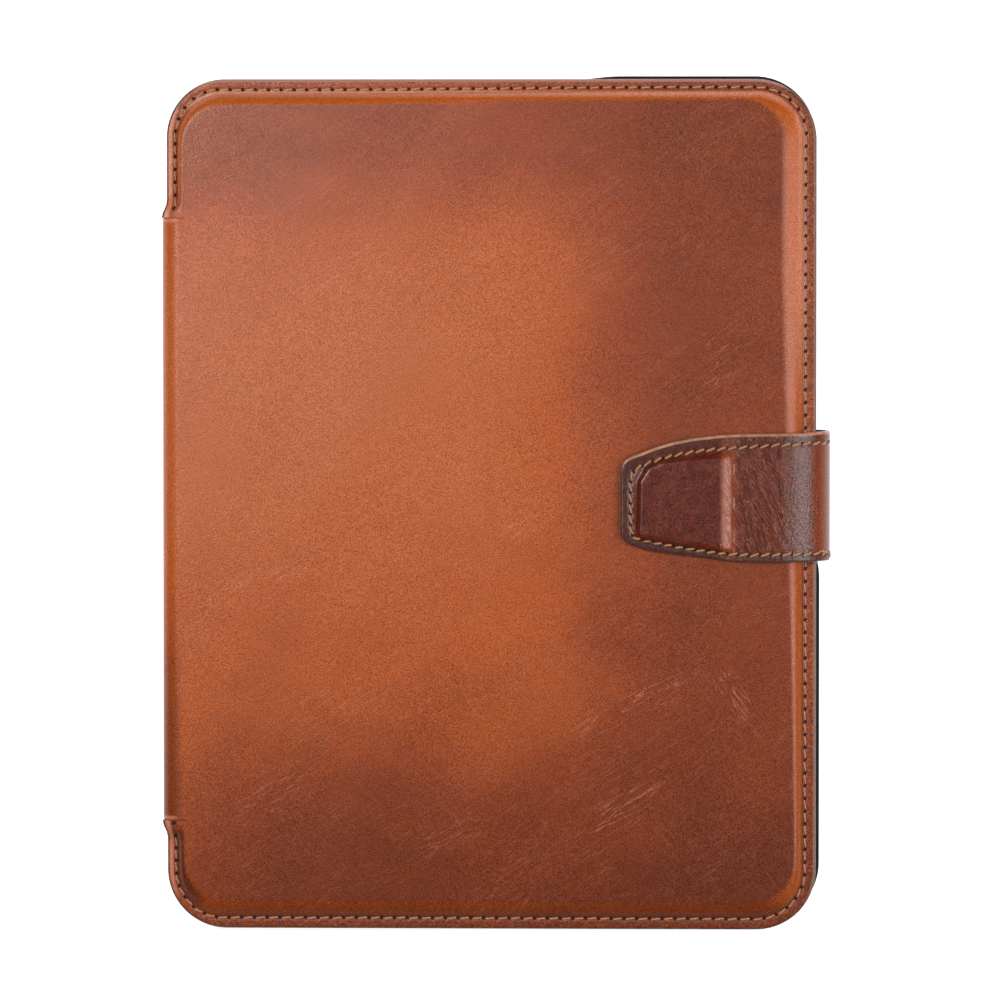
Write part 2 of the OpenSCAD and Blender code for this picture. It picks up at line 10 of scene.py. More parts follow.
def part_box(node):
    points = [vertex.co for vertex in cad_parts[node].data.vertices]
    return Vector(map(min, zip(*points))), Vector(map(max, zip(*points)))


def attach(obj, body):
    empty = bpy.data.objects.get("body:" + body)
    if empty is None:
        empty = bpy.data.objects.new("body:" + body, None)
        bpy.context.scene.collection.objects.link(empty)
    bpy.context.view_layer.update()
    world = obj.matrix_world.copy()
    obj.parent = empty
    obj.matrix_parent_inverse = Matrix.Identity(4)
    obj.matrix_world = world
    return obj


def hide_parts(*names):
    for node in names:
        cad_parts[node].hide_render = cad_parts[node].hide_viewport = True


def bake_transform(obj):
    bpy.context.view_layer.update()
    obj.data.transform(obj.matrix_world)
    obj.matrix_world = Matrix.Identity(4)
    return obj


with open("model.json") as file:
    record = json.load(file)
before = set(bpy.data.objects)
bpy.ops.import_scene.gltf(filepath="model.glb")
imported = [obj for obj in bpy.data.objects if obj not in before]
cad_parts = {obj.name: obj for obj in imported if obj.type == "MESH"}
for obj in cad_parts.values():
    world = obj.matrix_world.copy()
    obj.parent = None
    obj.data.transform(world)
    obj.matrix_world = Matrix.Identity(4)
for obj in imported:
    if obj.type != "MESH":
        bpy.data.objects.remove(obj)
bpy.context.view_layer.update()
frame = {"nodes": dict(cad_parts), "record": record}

rng = np.random.default_rng(7)
MM = 0.001

# -------- measures in mm, with x from the front leaf's left edge and y from its middle
front_low, front_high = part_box("front_leather")
back_low, back_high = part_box("back_leather")
spine_low, spine_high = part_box("spine_leather")
side_low, side_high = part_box("strap_side_leather")
tip_low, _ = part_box("strap_tip_leather")
X0 = front_low.x
Y0 = (front_low.y + front_high.y) / 2
W = (front_high.x - front_low.x) / MM
H = (front_high.y - front_low.y) / MM
TOP = front_high.z / MM
MARGIN = TOP - 2.0          # top of the flat margin
SKIN_TOP = TOP - 0.08       # the raised panel, without its waves
UNDER = front_low.z / MM    # underside of the front leather
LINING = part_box("front_lining")[0].z / MM
BACK_DX = (back_low.x - X0) / MM
BACK_DY = ((back_low.y + back_high.y) / 2 - Y0) / MM
SPINE_Y1 = (spine_low.y - Y0) / MM
SPINE_Y2 = (spine_high.y - Y0) / MM
SPINE_X = (spine_low.x - X0) / MM
FOLD_R = 3.7
FOLD_X = SPINE_X + FOLD_R
FOLD_Z2 = TOP - FOLD_R
FOLD_Z1 = FOLD_R
MID_Z = (FOLD_Z1 + FOLD_Z2) / 2
HINGE_X = 4.0               # where the leaf's skin hands over to the hinge's skin
STRAP_X = (side_high.x - X0) / MM
STRAP_TOP = 18.4
TIP_X = (tip_low.x - X0) / MM
PITCH = 2.79                # from stitch to stitch
STRAP_PITCH = 2.35


def metres(p):
    p = np.asarray(p, float).reshape(-1, 3)
    return np.stack([p[:, 0] * MM + X0, p[:, 1] * MM + Y0, p[:, 2] * MM], 1)


def smooth(a, b, x):
    t = np.clip((np.asarray(x, float) - a) / (b - a), 0, 1)
    return t * t * (3 - 2 * t)


def make(name, verts, faces, mat, attrs=None, sharp=40):
    """A mesh object from points in mm. Their rest places, in mm, go along, so that patterns stay put in poses."""
    me = bpy.data.meshes.new(name)
    me.from_pydata([tuple(v) for v in metres(verts)], [], [tuple(int(i) for i in f) for f in faces])
    me.validate()
    bm = bmesh.new()
    bm.from_mesh(me)
    bmesh.ops.recalc_face_normals(bm, faces=bm.faces)
    bm.to_mesh(me)
    bm.free()
    a = me.attributes.new("place", "FLOAT_VECTOR", "POINT")
    a.data.foreach_set("vector", np.asarray(verts, np.float32).ravel())
    for key, values in (attrs or {}).items():
        a = me.attributes.new(key, "FLOAT", "POINT")
        a.data.foreach_set("value", np.asarray(values, np.float32).ravel())
    me.materials.append(mat)
    me.polygons.foreach_set("use_smooth", [True] * len(me.polygons))
    me.set_sharp_from_angle(angle=math.radians(sharp))
    ob = bpy.data.objects.new(name, me)
    bpy.context.scene.collection.objects.link(ob)
    return ob


def extend(values, count, fill):
    """The values with the fill added count times."""
    return np.concatenate([values, np.full(count, float(fill))])


def band(a, b):
    """Quads between two rows of point numbers."""
    return list(zip(a[:-1], a[1:], b[1:], b[:-1]))


def ring_band(a, b):
    """Quads between two closed rows of point numbers."""
    return band([*a, a[0]], [*b, b[0]])


def shell(outer, inner):
    """A closed shell between two grids of points, (rows, columns, 3)."""
    rows, columns = outer.shape[:2]
    n = rows * columns
    number = np.arange(n).reshape(rows, columns)
    faces = []
    for j in range(rows - 1):
        for q in band(number[j], number[j + 1]):
            faces += [q, tuple(n + k for k in reversed(q))]
    for wall in (number[:, 0], number[::-1, -1], number[0, ::-1], number[-1]):
        faces += band(wall, n + wall)
    return np.concatenate([outer.reshape(-1, 3), inner.reshape(-1, 3)]), faces


def normals2(path):
    """Left-hand normals of a path of points in a plane."""
    t = np.gradient(path, axis=0)
    t /= np.linalg.norm(t, axis=1)[:, None] + 1e-12
    return np.stack([-t[:, 1], t[:, 0]], 1)


def run_along(path):
    """The distance along a path at each of its points."""
    return np.concatenate([[0], np.cumsum(np.linalg.norm(np.diff(path, axis=0), axis=1))])


def at_run(s, run, path):
    """The coordinates of a path at the distances s."""
    return np.array([np.interp(s, run, column) for column in path.T])


def resample(path, step):
    """The path in even steps of about the given length, and the distance at each of its points."""
    run = run_along(path)
    s = np.linspace(0, run[-1], max(2, int(round(run[-1] / step)) + 1))
    return at_run(s, run, path).T, s


# -------- materials
class Num:
    """A number that a node gives, so that nodes can be written as sums and products."""

    def __init__(self, tree, socket):
        self.tree, self.socket = tree, socket

    def __add__(self, other):
        return self.tree.math("ADD", self, other)

    def __sub__(self, other):
        return self.tree.math("SUBTRACT", self, other)

    def __rsub__(self, other):
        return self.tree.math("SUBTRACT", other, self)

    def __mul__(self, other):
        return self.tree.math("MULTIPLY", self, other)

    def __truediv__(self, other):
        return self.tree.math("DIVIDE", self, other)

    def __abs__(self):
        return self.tree.math("ABSOLUTE", self)


class Tree:
    """Short forms for building a material's nodes."""

    def __init__(self, name):
        self.mat = bpy.data.materials.new(name)
        self.mat.use_nodes = True
        self.nt = self.mat.node_tree

    def node(self, kind, **props):
        n = self.nt.nodes.new("ShaderNode" + kind)
        for k, v in props.items():
            setattr(n, k, v)
        return n

    def link(self, socket, value):
        """Set a socket, or link it to the output that feeds it."""
        if isinstance(value, Num):
            value = value.socket
        if isinstance(value, bpy.types.NodeSocket):
            self.nt.links.new(value, socket)
        else:
            socket.default_value = value

    def put(self, node, **values):
        """Fill in inputs by name, with _ for a space."""
        for key, value in values.items():
            self.link(node.inputs[key.replace("_", " ")], value)
        return node

    def plug(self, node, *values):
        """Fill in the first inputs in their order."""
        for socket, value in zip(node.inputs, values):
            self.link(socket, value)
        return node

    def math(self, op, a, b=0.0, c=0.0, clamp=False):
        return Num(self, self.plug(self.node("Math", operation=op, use_clamp=clamp), a, b, c).outputs[0])

    def attr(self, name):
        return Num(self, self.node("Attribute", attribute_name=name).outputs["Fac"])

    def place(self):
        """The point's rest place in mm."""
        return self.node("Attribute", attribute_name="place").outputs["Vector"]

    def split(self, v):
        return [Num(self, s) for s in self.plug(self.node("SeparateXYZ"), v).outputs]

    def mapping(self, v, loc=(0, 0, 0), rot=(0, 0, 0), scale=(1, 1, 1)):
        rot = [math.radians(a) for a in rot]
        return self.put(self.node("Mapping"), Vector=v, Location=loc, Rotation=rot, Scale=scale).outputs[0]

    def noise(self, v, scale, detail=3.0, rough=0.5):
        n = self.put(self.node("TexNoise"), Vector=v, Scale=scale, Detail=detail, Roughness=rough)
        return Num(self, n.outputs["Fac"])

    def voronoi(self, v, scale, feature="F1", random=1.0):
        n = self.put(self.node("TexVoronoi", feature=feature), Vector=v, Scale=scale, Randomness=random)
        return Num(self, n.outputs["Distance"])

    def range(self, v, a, b, c=0.0, d=1.0, soft=True):
        n = self.node("MapRange", interpolation_type="SMOOTHSTEP" if soft else "LINEAR")
        return Num(self, self.plug(n, v, a, b, c, d).outputs[0])

    def mix(self, fac, a, b):
        n = self.put(self.node("Mix", data_type="RGBA"), Factor=fac)
        self.link(n.inputs[6], a)
        self.link(n.inputs[7], b)
        return n.outputs[2]

    def ramp(self, fac, stops):
        n = self.plug(self.node("ValToRGB"), fac)
        e = n.color_ramp.elements
        while len(e) < len(stops):
            e.new(0.5)
        for k, (pos, col) in zip(e, stops):
            k.position = pos
            k.color = col
        return n.outputs[0]

    def bump(self, height, distance, strength=1.0):
        return self.put(self.node("Bump"), Strength=strength, Distance=distance, Height=height).outputs[0]

    def set(self, **values):
        """Fill in the shader and give the material."""
        self.put(self.nt.nodes["Principled BSDF"], **values)
        return self.mat


def srgb(r, g, b):
    def one(c):
        c /= 255
        return c / 12.92 if c <= 0.04045 else ((c + 0.055) / 1.055) ** 2.4
    return (one(r), one(g), one(b), 1.0)


def ridges(t, p, angle, across, along, mask, levels, shift, width=0.16):
    """Hair-thin wrinkles that run one way: the level lines of a stretched noise. 1 on each line."""
    q = t.mapping(t.mapping(p, loc=shift), rot=(0, 0, -angle))
    n = t.noise(t.mapping(q, scale=(along, across, across)), 1.0, 3, 0.62)
    return t.range(abs(t.math("FRACT", n * levels) - 0.5), 0.0, width, 1.0, 0.0) * mask


def seam(t, colour, pitch, hole_colour, trench_colour):
    """Stitch holes, the trench that the thread pulls down and the puckers between holes; the holes' dark colour and the
    trench's darkening are painted shade.

    Returns the colour, the hole and the pucker."""
    ds = (t.math("FRACT", t.attr("seam_s") / pitch + 0.5) - 0.5) * pitch
    dd = t.attr("seam_d")
    q = t.plug(t.node("CombineXYZ"), (ds + dd * 0.35) / 0.46, dd / 0.33)
    n = t.plug(t.node("VectorMath", operation="LENGTH"), q.outputs[0])
    hole = t.range(n.outputs["Value"], 0.7, 1.25, 1.0, 0.0)
    near = t.range(abs(dd), 0.1, 1.3, 1.0, 0.0)
    # painted shade: the holes are coloured dark and the trench is darkened
    colour = t.mix(hole, t.mix(near * 0.4, colour, trench_colour), hole_colour)
    return colour, hole, abs(ds) * near


def speckle(t, p, colour, much, sparkle):
    """The hide's grain as fine light and dark dots that leave its mean colour alone; the grey added alike to every
    channel is a painted glint.

    Returns the colour and the grain's height."""
    d = t.math("MINIMUM", t.math("MAXIMUM", t.noise(p, 4.4, 1, 0.6) - 0.5, -0.2), 0.24)
    gain = t.math("MULTIPLY_ADD", d, much, 1.0)
    # the grey added to every channel alike is a painted glint on the grain
    n = t.plug(t.node("VectorMath", operation="MULTIPLY_ADD"), colour, gain, d * sparkle)
    return n.outputs[0], d


def cover_leather(name):
    t = Tree(name)
    p = t.place()
    x, y, _ = t.split(p)
    edge_d = t.attr("edge_d")
    mottle = t.noise(p, 0.42, 4, 0.62)
    ridge_a = ridges(t, p, 33, 0.34, 0.035, t.attr("crease_a"), 7.0, (0, 0, 0))
    ridge_b = ridges(t, p, -50, 0.5, 0.05, t.attr("crease_b"), 6.0, (40, 11, 0))
    lines = t.math("MAXIMUM", ridge_a, ridge_b) * t.range(mottle, 0.34, 0.6, 0.25, 1.0)
    crumple = (t.noise(p, 1.7, 2, 0.6) - 0.5) * t.attr("margin")
    depth = t.attr("burn") + (mottle - 0.5) * t.attr("patchy") + crumple * 1.5
    colour = t.ramp(depth, [
        (0.0, srgb(172, 87, 42)), (0.32, srgb(164, 76, 30)), (0.62, srgb(128, 54, 20)), (1.0, srgb(94, 36, 12)),
    ])
    colour = t.mix(t.attr("wear"), colour, srgb(178, 84, 22))
    # a painted highlight: a pale line along the panel's foot, at the head and the upper fore edge
    at_head = t.range(y, H / 2 - 9.0, H / 2 - 4.0)
    at_fore = t.range(x, W - 6.0, W - 4.0) * t.range(y, 10.0, 50.0)
    foot_highlight = t.range(edge_d, 2.2, 2.8) * t.range(edge_d, 4.3, 3.0) * t.math("MAXIMUM", at_head, at_fore)
    colour = t.mix(foot_highlight * 0.8, colour, srgb(212, 136, 106))
    # the wrinkles are real and raised in the bump; their pale colour is a painted highlight on their crests
    colour = t.mix(lines * 0.58, colour, srgb(202, 122, 88))
    # the grain's grey part here is a painted glint
    colour, grain = speckle(t, p, colour, 2.1, 0.05)
    # the hole and trench colours given here are painted shade
    colour, hole, pucker = seam(t, colour, PITCH, srgb(42, 17, 8), srgb(112, 62, 42))
    # a painted highlight along the rolled left edge
    rolled_edge_highlight = t.range(edge_d, 0.3, 0.6) * t.range(edge_d, 1.5, 1.1)
    colour = t.mix(t.range(x, 3.0, 1.0) * rolled_edge_highlight * 0.6, colour, srgb(206, 132, 104))
    # the cut edge: dark, but scuffed pale along the head and olive beside the strap
    head = t.range(y, H / 2 - 3.0, H / 2 - 1.0)
    fore = t.range(x, W - 3.0, W - 1.0)
    edge = t.range(edge_d - t.math("MAXIMUM", head, fore) * 0.22, 0.24, 0.5, 1.0, 0.0)
    edge_colour = t.mix(t.range(mottle, 0.35, 0.65), srgb(62, 42, 36), srgb(104, 80, 70))
    edge_colour = t.mix(head, edge_colour, srgb(158, 118, 106))
    edge_colour = t.mix(fore, edge_colour, srgb(116, 88, 70))
    colour = t.mix(edge, colour, edge_colour)
    rough = t.range(mottle, 0.3, 0.7, 0.27, 0.33) + hole * 0.5
    height = grain + lines * 0.8 - crumple * 2.0 + pucker * 1.5 - hole * 4.0
    return t.set(Base_Color=colour, Roughness=rough, Normal=t.bump(height, 0.00006, 0.7), IOR=1.35)


def strap_leather(name):
    t = Tree(name)
    p = t.place()
    u = t.attr("run")
    mottle = t.noise(p, 0.5, 4, 0.6)
    behind_pad = t.range(u, 21.5, 24.5) * t.range(u, 40.0, 33.0)
    ridge = ridges(t, p, -66, 1.6, 0.17, behind_pad * 0.95 + 0.05, 5.0, (3, 8, 0), 0.14)
    colour = t.ramp(mottle + t.attr("burn") * -0.3, [
        (0.2, srgb(66, 22, 9)), (0.5, srgb(84, 28, 10)), (0.8, srgb(104, 38, 15)),
    ])
    colour = t.mix(t.attr("wear"), colour, srgb(168, 78, 36))
    colour = t.mix(t.attr("burn"), colour, srgb(62, 36, 32))
    colour = t.mix(ridge * 0.65, colour, srgb(172, 104, 76))
    # the grain's grey part here is a painted glint
    colour, grain = speckle(t, p, colour, 2.0, 0.05)
    # the hole and trench colours given here are painted shade
    colour, hole, pucker = seam(t, colour, STRAP_PITCH, srgb(18, 7, 4), srgb(66, 34, 24))
    upper = t.range(t.split(p)[1], 7.0, 11.0)
    edge = t.range(t.attr("edge_d") - upper * 0.3, 0.2, 0.42, 1.0, 0.0)
    cut_edge = t.mix(upper, srgb(66, 46, 40), srgb(180, 122, 88))
    cut_edge = t.mix(t.range(mottle, 0.35, 0.65, 0.0, 0.5), cut_edge, srgb(96, 66, 52))
    colour = t.mix(edge, colour, cut_edge)
    rough = t.range(mottle, 0.3, 0.7, 0.20, 0.26) + hole * 0.5
    pebbles = t.noise(p, 1.9, 2, 0.55) * t.range(u, 33.0, 38.0, 0.3, 2.2)
    height = grain + pebbles + ridge * 1.2 + pucker * 1.2 - hole * 4.0
    return t.set(Base_Color=colour, Roughness=rough, Normal=t.bump(height, 0.00006, 0.7), IOR=1.4)


def suede(name, r, g, b):
    t = Tree(name)
    p = t.place()
    nap = t.noise(p, 4.0, 4, 0.7)
    wide = t.noise(p, 0.12, 3, 0.6)
    c = t.mix(t.range(nap, 0.3, 0.7), srgb(r, g, b), srgb(r + 16, g + 16, b + 16))
    c = t.mix(t.range(wide, 0.35, 0.65, 0.0, 0.5), c, srgb(r + 9, g + 9, b + 9))
    return t.set(Base_Color=c, Roughness=t.range(wide, 0.3, 0.7, 0.84, 0.96), Normal=t.bump(nap, 0.00008, 0.7),
                 Sheen_Weight=0.25, Sheen_Roughness=0.5)


def thread(name, light, dark):
    t = Tree(name)
    ply = t.math("SINE", t.attr("run") * 16.0 + t.attr("turn"))
    ply = t.range(ply, -1.0, 1.0, 0.0, 1.0, soft=False)
    n = t.noise(t.place(), 3.0, 2)
    # painted highlight: the light colour runs along the twist's crests over the thread's own darker colour
    c = t.mix(ply * t.range(n, 0.3, 0.7, 0.5, 1.0), srgb(*dark), srgb(*light))
    return t.set(Base_Color=c, Roughness=t.range(n, 0.3, 0.7, 0.5, 0.7), Normal=t.bump(ply, 0.00006, 0.8),
                 Sheen_Weight=0.2)


def plain(name, dark, light, scale, rough, metal=0.0, bump=0.00002, **more):
    """A moulded or metal surface with its own texture. scale is features per mm."""
    t = Tree(name)
    n = t.noise(t.place(), scale, 3.0, 0.6)
    w = t.noise(t.place(), scale * 0.07, 3, 0.5)
    c = t.mix(t.range(n * 0.6 + w * 0.4, 0.3, 0.7), srgb(*dark), srgb(*light))
    return t.set(Base_Color=c, Roughness=t.range(w, 0.3, 0.7, rough * 0.85, rough * 1.12), Metallic=metal,
                 Normal=t.bump(n, bump, 0.6), **more)


LEATHER = cover_leather("burnished_leather")
STRAP = strap_leather("strap_leather")
SUEDE = suede("black_microsuede", 14, 14, 16)
# each thread's first colour is a painted highlight along its twist, the second its own colour
THREAD = thread("cover_thread", (232, 174, 128), (140, 84, 50))
STRAP_THREAD = thread("strap_thread", (220, 162, 112), (124, 72, 40))

# -------- outlines of a leaf
# each corner's radius, the signs of its x and y, and the angle at which its arc starts
CORNERS = {"BL": (13.0, -1, -1, 180), "BR": (13.1, 1, -1, 270), "TR": (13.3, 1, 1, 0), "TL": (12.7, -1, 1, 90)}
CUT_LOW, CUT_HIGH = SPINE_Y1 - 0.03, SPINE_Y2 + 0.03


def leaf_params():
    """One closed run of places round a leaf, from the middle of the left side and down: (side, share, sign of y).

    Gives also the numbers of the places where the spine's cut ends."""
    low_end, high_end = CORNERS["BL"][0] - H / 2, H / 2 - CORNERS["TL"][0]

    def left(a, b, n, end, sign):
        return [("L", y / end, sign) for y in np.linspace(a, b, n)[:-1]]

    out = left(0, CUT_LOW, 56, low_end, -1)
    low = len(out)
    out += left(CUT_LOW, low_end, 10, low_end, -1)
    for side, n in (("BL", 25), ("B", 121), ("BR", 25), ("R", 161), ("TR", 25), ("T", 121), ("TL", 25)):
        out += [(side, a, 0) for a in np.linspace(0, 1, n)[:-1]]
    out += left(high_end, CUT_HIGH, 18, high_end, 1)
    return out + left(CUT_HIGH, 0, 52, high_end, 1), low, len(out)


PARAMS, I_LOW, I_HIGH = leaf_params()
N_LOOP = len(PARAMS)


def leaf_loop(d):
    """The outline inset by d, as points in x and y."""
    c = {}
    for side, (r, sx, sy, start) in CORNERS.items():
        r = max(r - d, 0.35)
        c[side] = (d + r if sx < 0 else W - d - r, sy * (H / 2 - d - r), r, start)
    pts = []
    for side, a, sign in PARAMS:
        if side == "L":
            pts.append((d, a * c["BL" if sign < 0 else "TL"][1]))
        elif side in c:
            x, y, r, start = c[side]
            g = math.radians(start + 90 * a)
            pts.append((x + r * math.cos(g), y + r * math.sin(g)))
        elif side == "B":
            pts.append((c["BL"][0] + a * (c["BR"][0] - c["BL"][0]), -H / 2 + d))
        elif side == "R":
            pts.append((W - d, c["BR"][1] + a * (c["TR"][1] - c["BR"][1])))
        else:
            pts.append((c["TR"][0] + a * (c["TL"][0] - c["TR"][0]), H / 2 - d))
    return np.array(pts)


def stitch_inset():
    """The stitch line's distance from the edge at each place: closer on the left side and along the head."""
    x, y = leaf_loop(0).T
    return 2.35 - 0.5 * smooth(16, 3, x) - 0.6 * smooth(20, 120, x) * smooth(H / 2 - 16, H / 2 - 4, y)


def seam_path():
    """The stitch line in x and y, between two insets of the outline, and the distance along it at each place."""
    w = ((SEAM_D - 1.5) / 1.1)[:, None]
    xy = leaf_loop(1.5) * (1 - w) + leaf_loop(2.6) * w
    return xy, run_along(xy)


SEAM_D = stitch_inset()
SEAM_XY, SEAM_S = seam_path()


def rounded_sd(x, y, x1, x2, y1, y2, r):
    """Signed distance to a rounded rectangle, negative inside."""
    qx = np.abs(x - (x1 + x2) / 2) - (x2 - x1) / 2 + r
    qy = np.abs(y - (y1 + y2) / 2) - (y2 - y1) / 2 + r
    return np.hypot(np.maximum(qx, 0), np.maximum(qy, 0)) + np.minimum(np.maximum(qx, qy), 0) - r


def climb(x, y, left_foot, left_top):
    """0 at the panel's foot and outside it, 1 at the crest and inside it.

    Its fore slope narrows down the cover, its head slope to the right."""
    fore = 7.5 - 2.7 * smooth(60, -85, y)
    head = smooth(20, 120, x)
    foot = -rounded_sd(x, y, left_foot, W - 2.8, -H / 2 + 2.7, H / 2 - 3.2 + 0.8 * head, 10.2)
    crest = rounded_sd(x, y, left_top, W - fore, -H / 2 + 6.4, H / 2 - 5.9 + 1.3 * head, 9.0)
    return np.clip(foot / (np.maximum(foot, 0) + np.maximum(crest, 0) + 1e-6), 0, 1)


def fore_side(x, y):
    """1 where the fore edge is the nearest one, 0 along the head and the foot."""
    return smooth(-6, 4, (H / 2 - np.abs(y)) - (W - x)) * smooth(60, 100, x)


def field(x, y, size, seed, octaves=3):
    """A smooth random pattern about 0, with features of the given size in mm."""
    g = np.random.default_rng(seed)
    out = np.zeros(np.shape(x))
    for k in range(octaves):
        for _ in range(9):
            a, phase = g.uniform(0, 2 * math.pi, 2)
            f = 2 * math.pi / (size * 0.55 ** k) * g.uniform(0.6, 1.4)
            out += 0.6 ** k * np.sin((x * math.cos(a) + y * math.sin(a)) * f + phase)
    return out / 4.5


def burnish(x, y):
    """How dark the hide is rubbed: towards the strap, the foot and the head."""
    drift = 2.2 * field(x, y, 70, 3)
    fore = np.interp(x + drift, [66, 77, 88, 94, 103, 112, 128], [0.03, 0.19, 0.38, 0.51, 0.64, 0.73, 0.74])
    head = np.interp(y + drift, [34, 52, 64, 77, 88], [0.0, 0.14, 0.4, 0.58, 0.6])
    foot = np.interp(y - drift, [-93, -79, -66, -53, -42, -27, 10], [0.9, 0.86, 0.72, 0.52, 0.4, 0.31, 0.02])
    foot = foot * np.interp(x, [4, 14, 26], [0.74, 0.9, 1.0])
    return (fore ** 4 + head ** 4 + foot ** 4) ** 0.25 + 0.05 * field(x, y, 26, 5)


def oval(x, y, centre, size, angle):
    a = math.radians(angle)
    dx, dy = x - centre[0], y - centre[1]
    u = (dx * math.cos(a) + dy * math.sin(a)) / size[0]
    v = (dy * math.cos(a) - dx * math.sin(a)) / size[1]
    return smooth(1.0, 0.25, np.hypot(u, v))


def creasing(x, y):
    """Where the hide has handled wrinkles, for each of their two directions."""
    a = 0.12 + 0.12 * field(x, y, 30, 9)
    for centre, size, angle, much in (
        ((102, -43.5), (22, 3.6), 26, 0.85), ((100, -66), (23, 6.0), 44, 0.62), ((40, 51), (17, 5.0), 30, 0.6),
        ((22, -16), (17, 3.4), 12, 0.6), ((78, -4.5), (12, 3.4), 33, 0.7), ((121, 32), (14, 8.0), 50, 0.45),
        ((95, 68), (12, 5.0), 40, 0.35), ((24, -62), (16, 8.0), 30, 0.4), ((62, -72), (18, 5.0), 25, 0.35),
    ):
        a = np.maximum(a, much * oval(x, y, centre, size, angle))
    b = 0.08 + 0.08 * field(x, y, 30, 11)
    for centre, size, angle, much in (
        ((123.5, -41.5), (11, 4.5), -54, 0.8), ((20, 62), (20, 15.0), -45, 0.5), ((33, 38), (14, 7.0), -48, 0.35),
    ):
        b = np.maximum(b, much * oval(x, y, centre, size, angle))
    return np.clip(a, 0, 1), np.clip(b, 0, 1)


def waves(x, y):
    """The hide's slight unevenness over the foam."""
    out = np.zeros_like(x)
    for k, (fx, fy, ph) in enumerate(((0.11, 0.05, 0.4), (-0.06, 0.13, 2.0), (0.19, -0.08, 1.1), (0.07, 0.21, 4.2),
                                      (-0.23, 0.17, 3.0))):
        out += np.sin(x * fx + y * fy + ph) / (1 + 0.5 * k)
    return out * 0.022


def panel_height(x, y):
    """The front skin's height, and how far up the slope each place is, from 0 to 1."""
    full = climb(x, y, 2.2, 3.9 - 0.5 * smooth(-20, 60, y))
    open_left = climb(x, y, -40.0, -36.0)
    share = smooth(SPINE_Y2 + 4.6, SPINE_Y2 + 0.5, y) * smooth(SPINE_Y1 - 4.6, SPINE_Y1 - 0.5, y)
    t = full + (open_left - full) * share
    rounded = 1 - (1 - t) ** 2.1
    ramped = 0.28 * (1 - (1 - np.clip(t / 0.22, 0, 1)) ** 2) + 0.72 * t
    rise = rounded + (ramped - rounded) * fore_side(x, y) * smooth(0, 68, y)
    return MARGIN + (SKIN_TOP - MARGIN) * rise + waves(x, y) * rise, t


def channel(seam):
    """The trench along a line of stitches, at a distance from it."""
    return -0.14 * np.exp(-((seam / 0.5) ** 2))


def edge_round(d, r=0.55):
    """How far a rounded edge falls, at a distance from it."""
    return -(r - np.sqrt(np.maximum(r * r - np.maximum(r - d, 0) ** 2, 0)))


def leaf_skin(name, insets, handover, height, under, marks, warp, shift=(0, 0), flip=False):
    """A leaf's leather: rings of points from the edge to the middle, with walls down to z = under.

    It is open where the spine joins, from the edge to the inset handover."""
    rings = len(insets)
    k = insets.index(handover)
    d = np.repeat(insets, N_LOOP).astype(float)
    to_seam = d - np.tile(SEAM_D, rings)
    x, y = np.concatenate([leaf_loop(inset) for inset in insets]).T
    verts = np.column_stack([x, y, height(x, y, d, to_seam)])
    ring = np.arange(len(verts)).reshape(rings, N_LOOP)
    faces = []
    for r in range(rings - 1):
        quads = ring_band(ring[r], ring[r + 1])
        faces += quads if r >= k else quads[I_LOW:I_HIGH]
    faces.append(tuple(ring[-1]))
    rim = np.concatenate([ring[0, I_LOW:I_HIGH + 1], ring[1:k + 1, I_HIGH], ring[k, I_HIGH + 1:], ring[k, :I_LOW + 1],
                          ring[k - 1:0:-1, I_LOW]])
    low = verts[rim]
    low[:, 2] = under
    foot = len(verts) + np.arange(len(rim))
    faces += ring_band(foot, rim)
    faces.append(tuple(foot[::-1]))
    verts = np.concatenate([verts, low])
    attrs = {
        "edge_d": extend(d, len(rim), 0), "seam_s": extend(np.tile(SEAM_S, rings), len(rim), 1),
        "seam_d": extend(to_seam, len(rim), 9),
    }
    attrs.update(marks(verts[:, 0], verts[:, 1], attrs["edge_d"]))
    attrs["crease_a"], attrs["crease_b"] = creasing(verts[:, 0], verts[:, 1])
    used = np.unique(np.concatenate(faces))
    index = np.full(len(verts), -1)
    index[used] = np.arange(len(used))
    faces = [index[list(reversed(f)) if flip else list(f)] for f in faces]
    verts[:, 0], verts[:, 1] = warp(verts[:, 0], verts[:, 1])
    return make(name, verts[used] + [*shift, 0], faces, LEATHER, {key: v[used] for key, v in attrs.items()})


# -------- front leaf
INSETS = [0, 0.06, 0.16, 0.32, 0.55, 0.9, 1.3, 1.6, 1.85, 2.1, 2.35, 2.6, 2.8, 3.0, 3.25, 3.6, HINGE_X, 4.4, 4.8, 5.2,
          5.6, 6.0, 6.5, 7.0, 7.5, 8.0, 8.7, 9.6, *np.arange(11, 70.2, 1.5)]


def front_height(x, y, d, seam):
    return panel_height(x, y)[0] + channel(seam) + edge_round(d)


def front_marks(x, y, d):
    """Worn slopes, the burnish, painted shade on the left slope near the foot, and how crumpled the margin is."""
    t = panel_height(x, y)[1]
    fore = fore_side(x, y)
    worn_fore = (0.6 + 0.25 * smooth(10, 60, y)) * smooth(0.01, 0.08, t) * smooth(1.02, 0.7, t)
    worn_head = 0.7 * smooth(0.02, 0.3, t) * smooth(1.02, 0.8, t) * smooth(4.0, 9.0, x + 0.4 * np.maximum(y - 60, 0))
    crest = worn_head * (0.2 + 0.8 * smooth(-20, 20, y))
    margin = smooth(3.3, 2.5, d)
    # painted shade: the panel's left slope near the foot is darkened
    heel_shade = smooth(9.0, 5.0, x) * smooth(-58, -68, y) * smooth(0.01, 0.1, t) * smooth(1.0, 0.7, t)
    return {"wear": worn_fore * fore + crest * (1 - fore), "burn": burnish(x, y) - 0.1 * margin + 0.5 * heel_shade,
            "patchy": 0.16 + 0.4 * margin, "margin": margin}


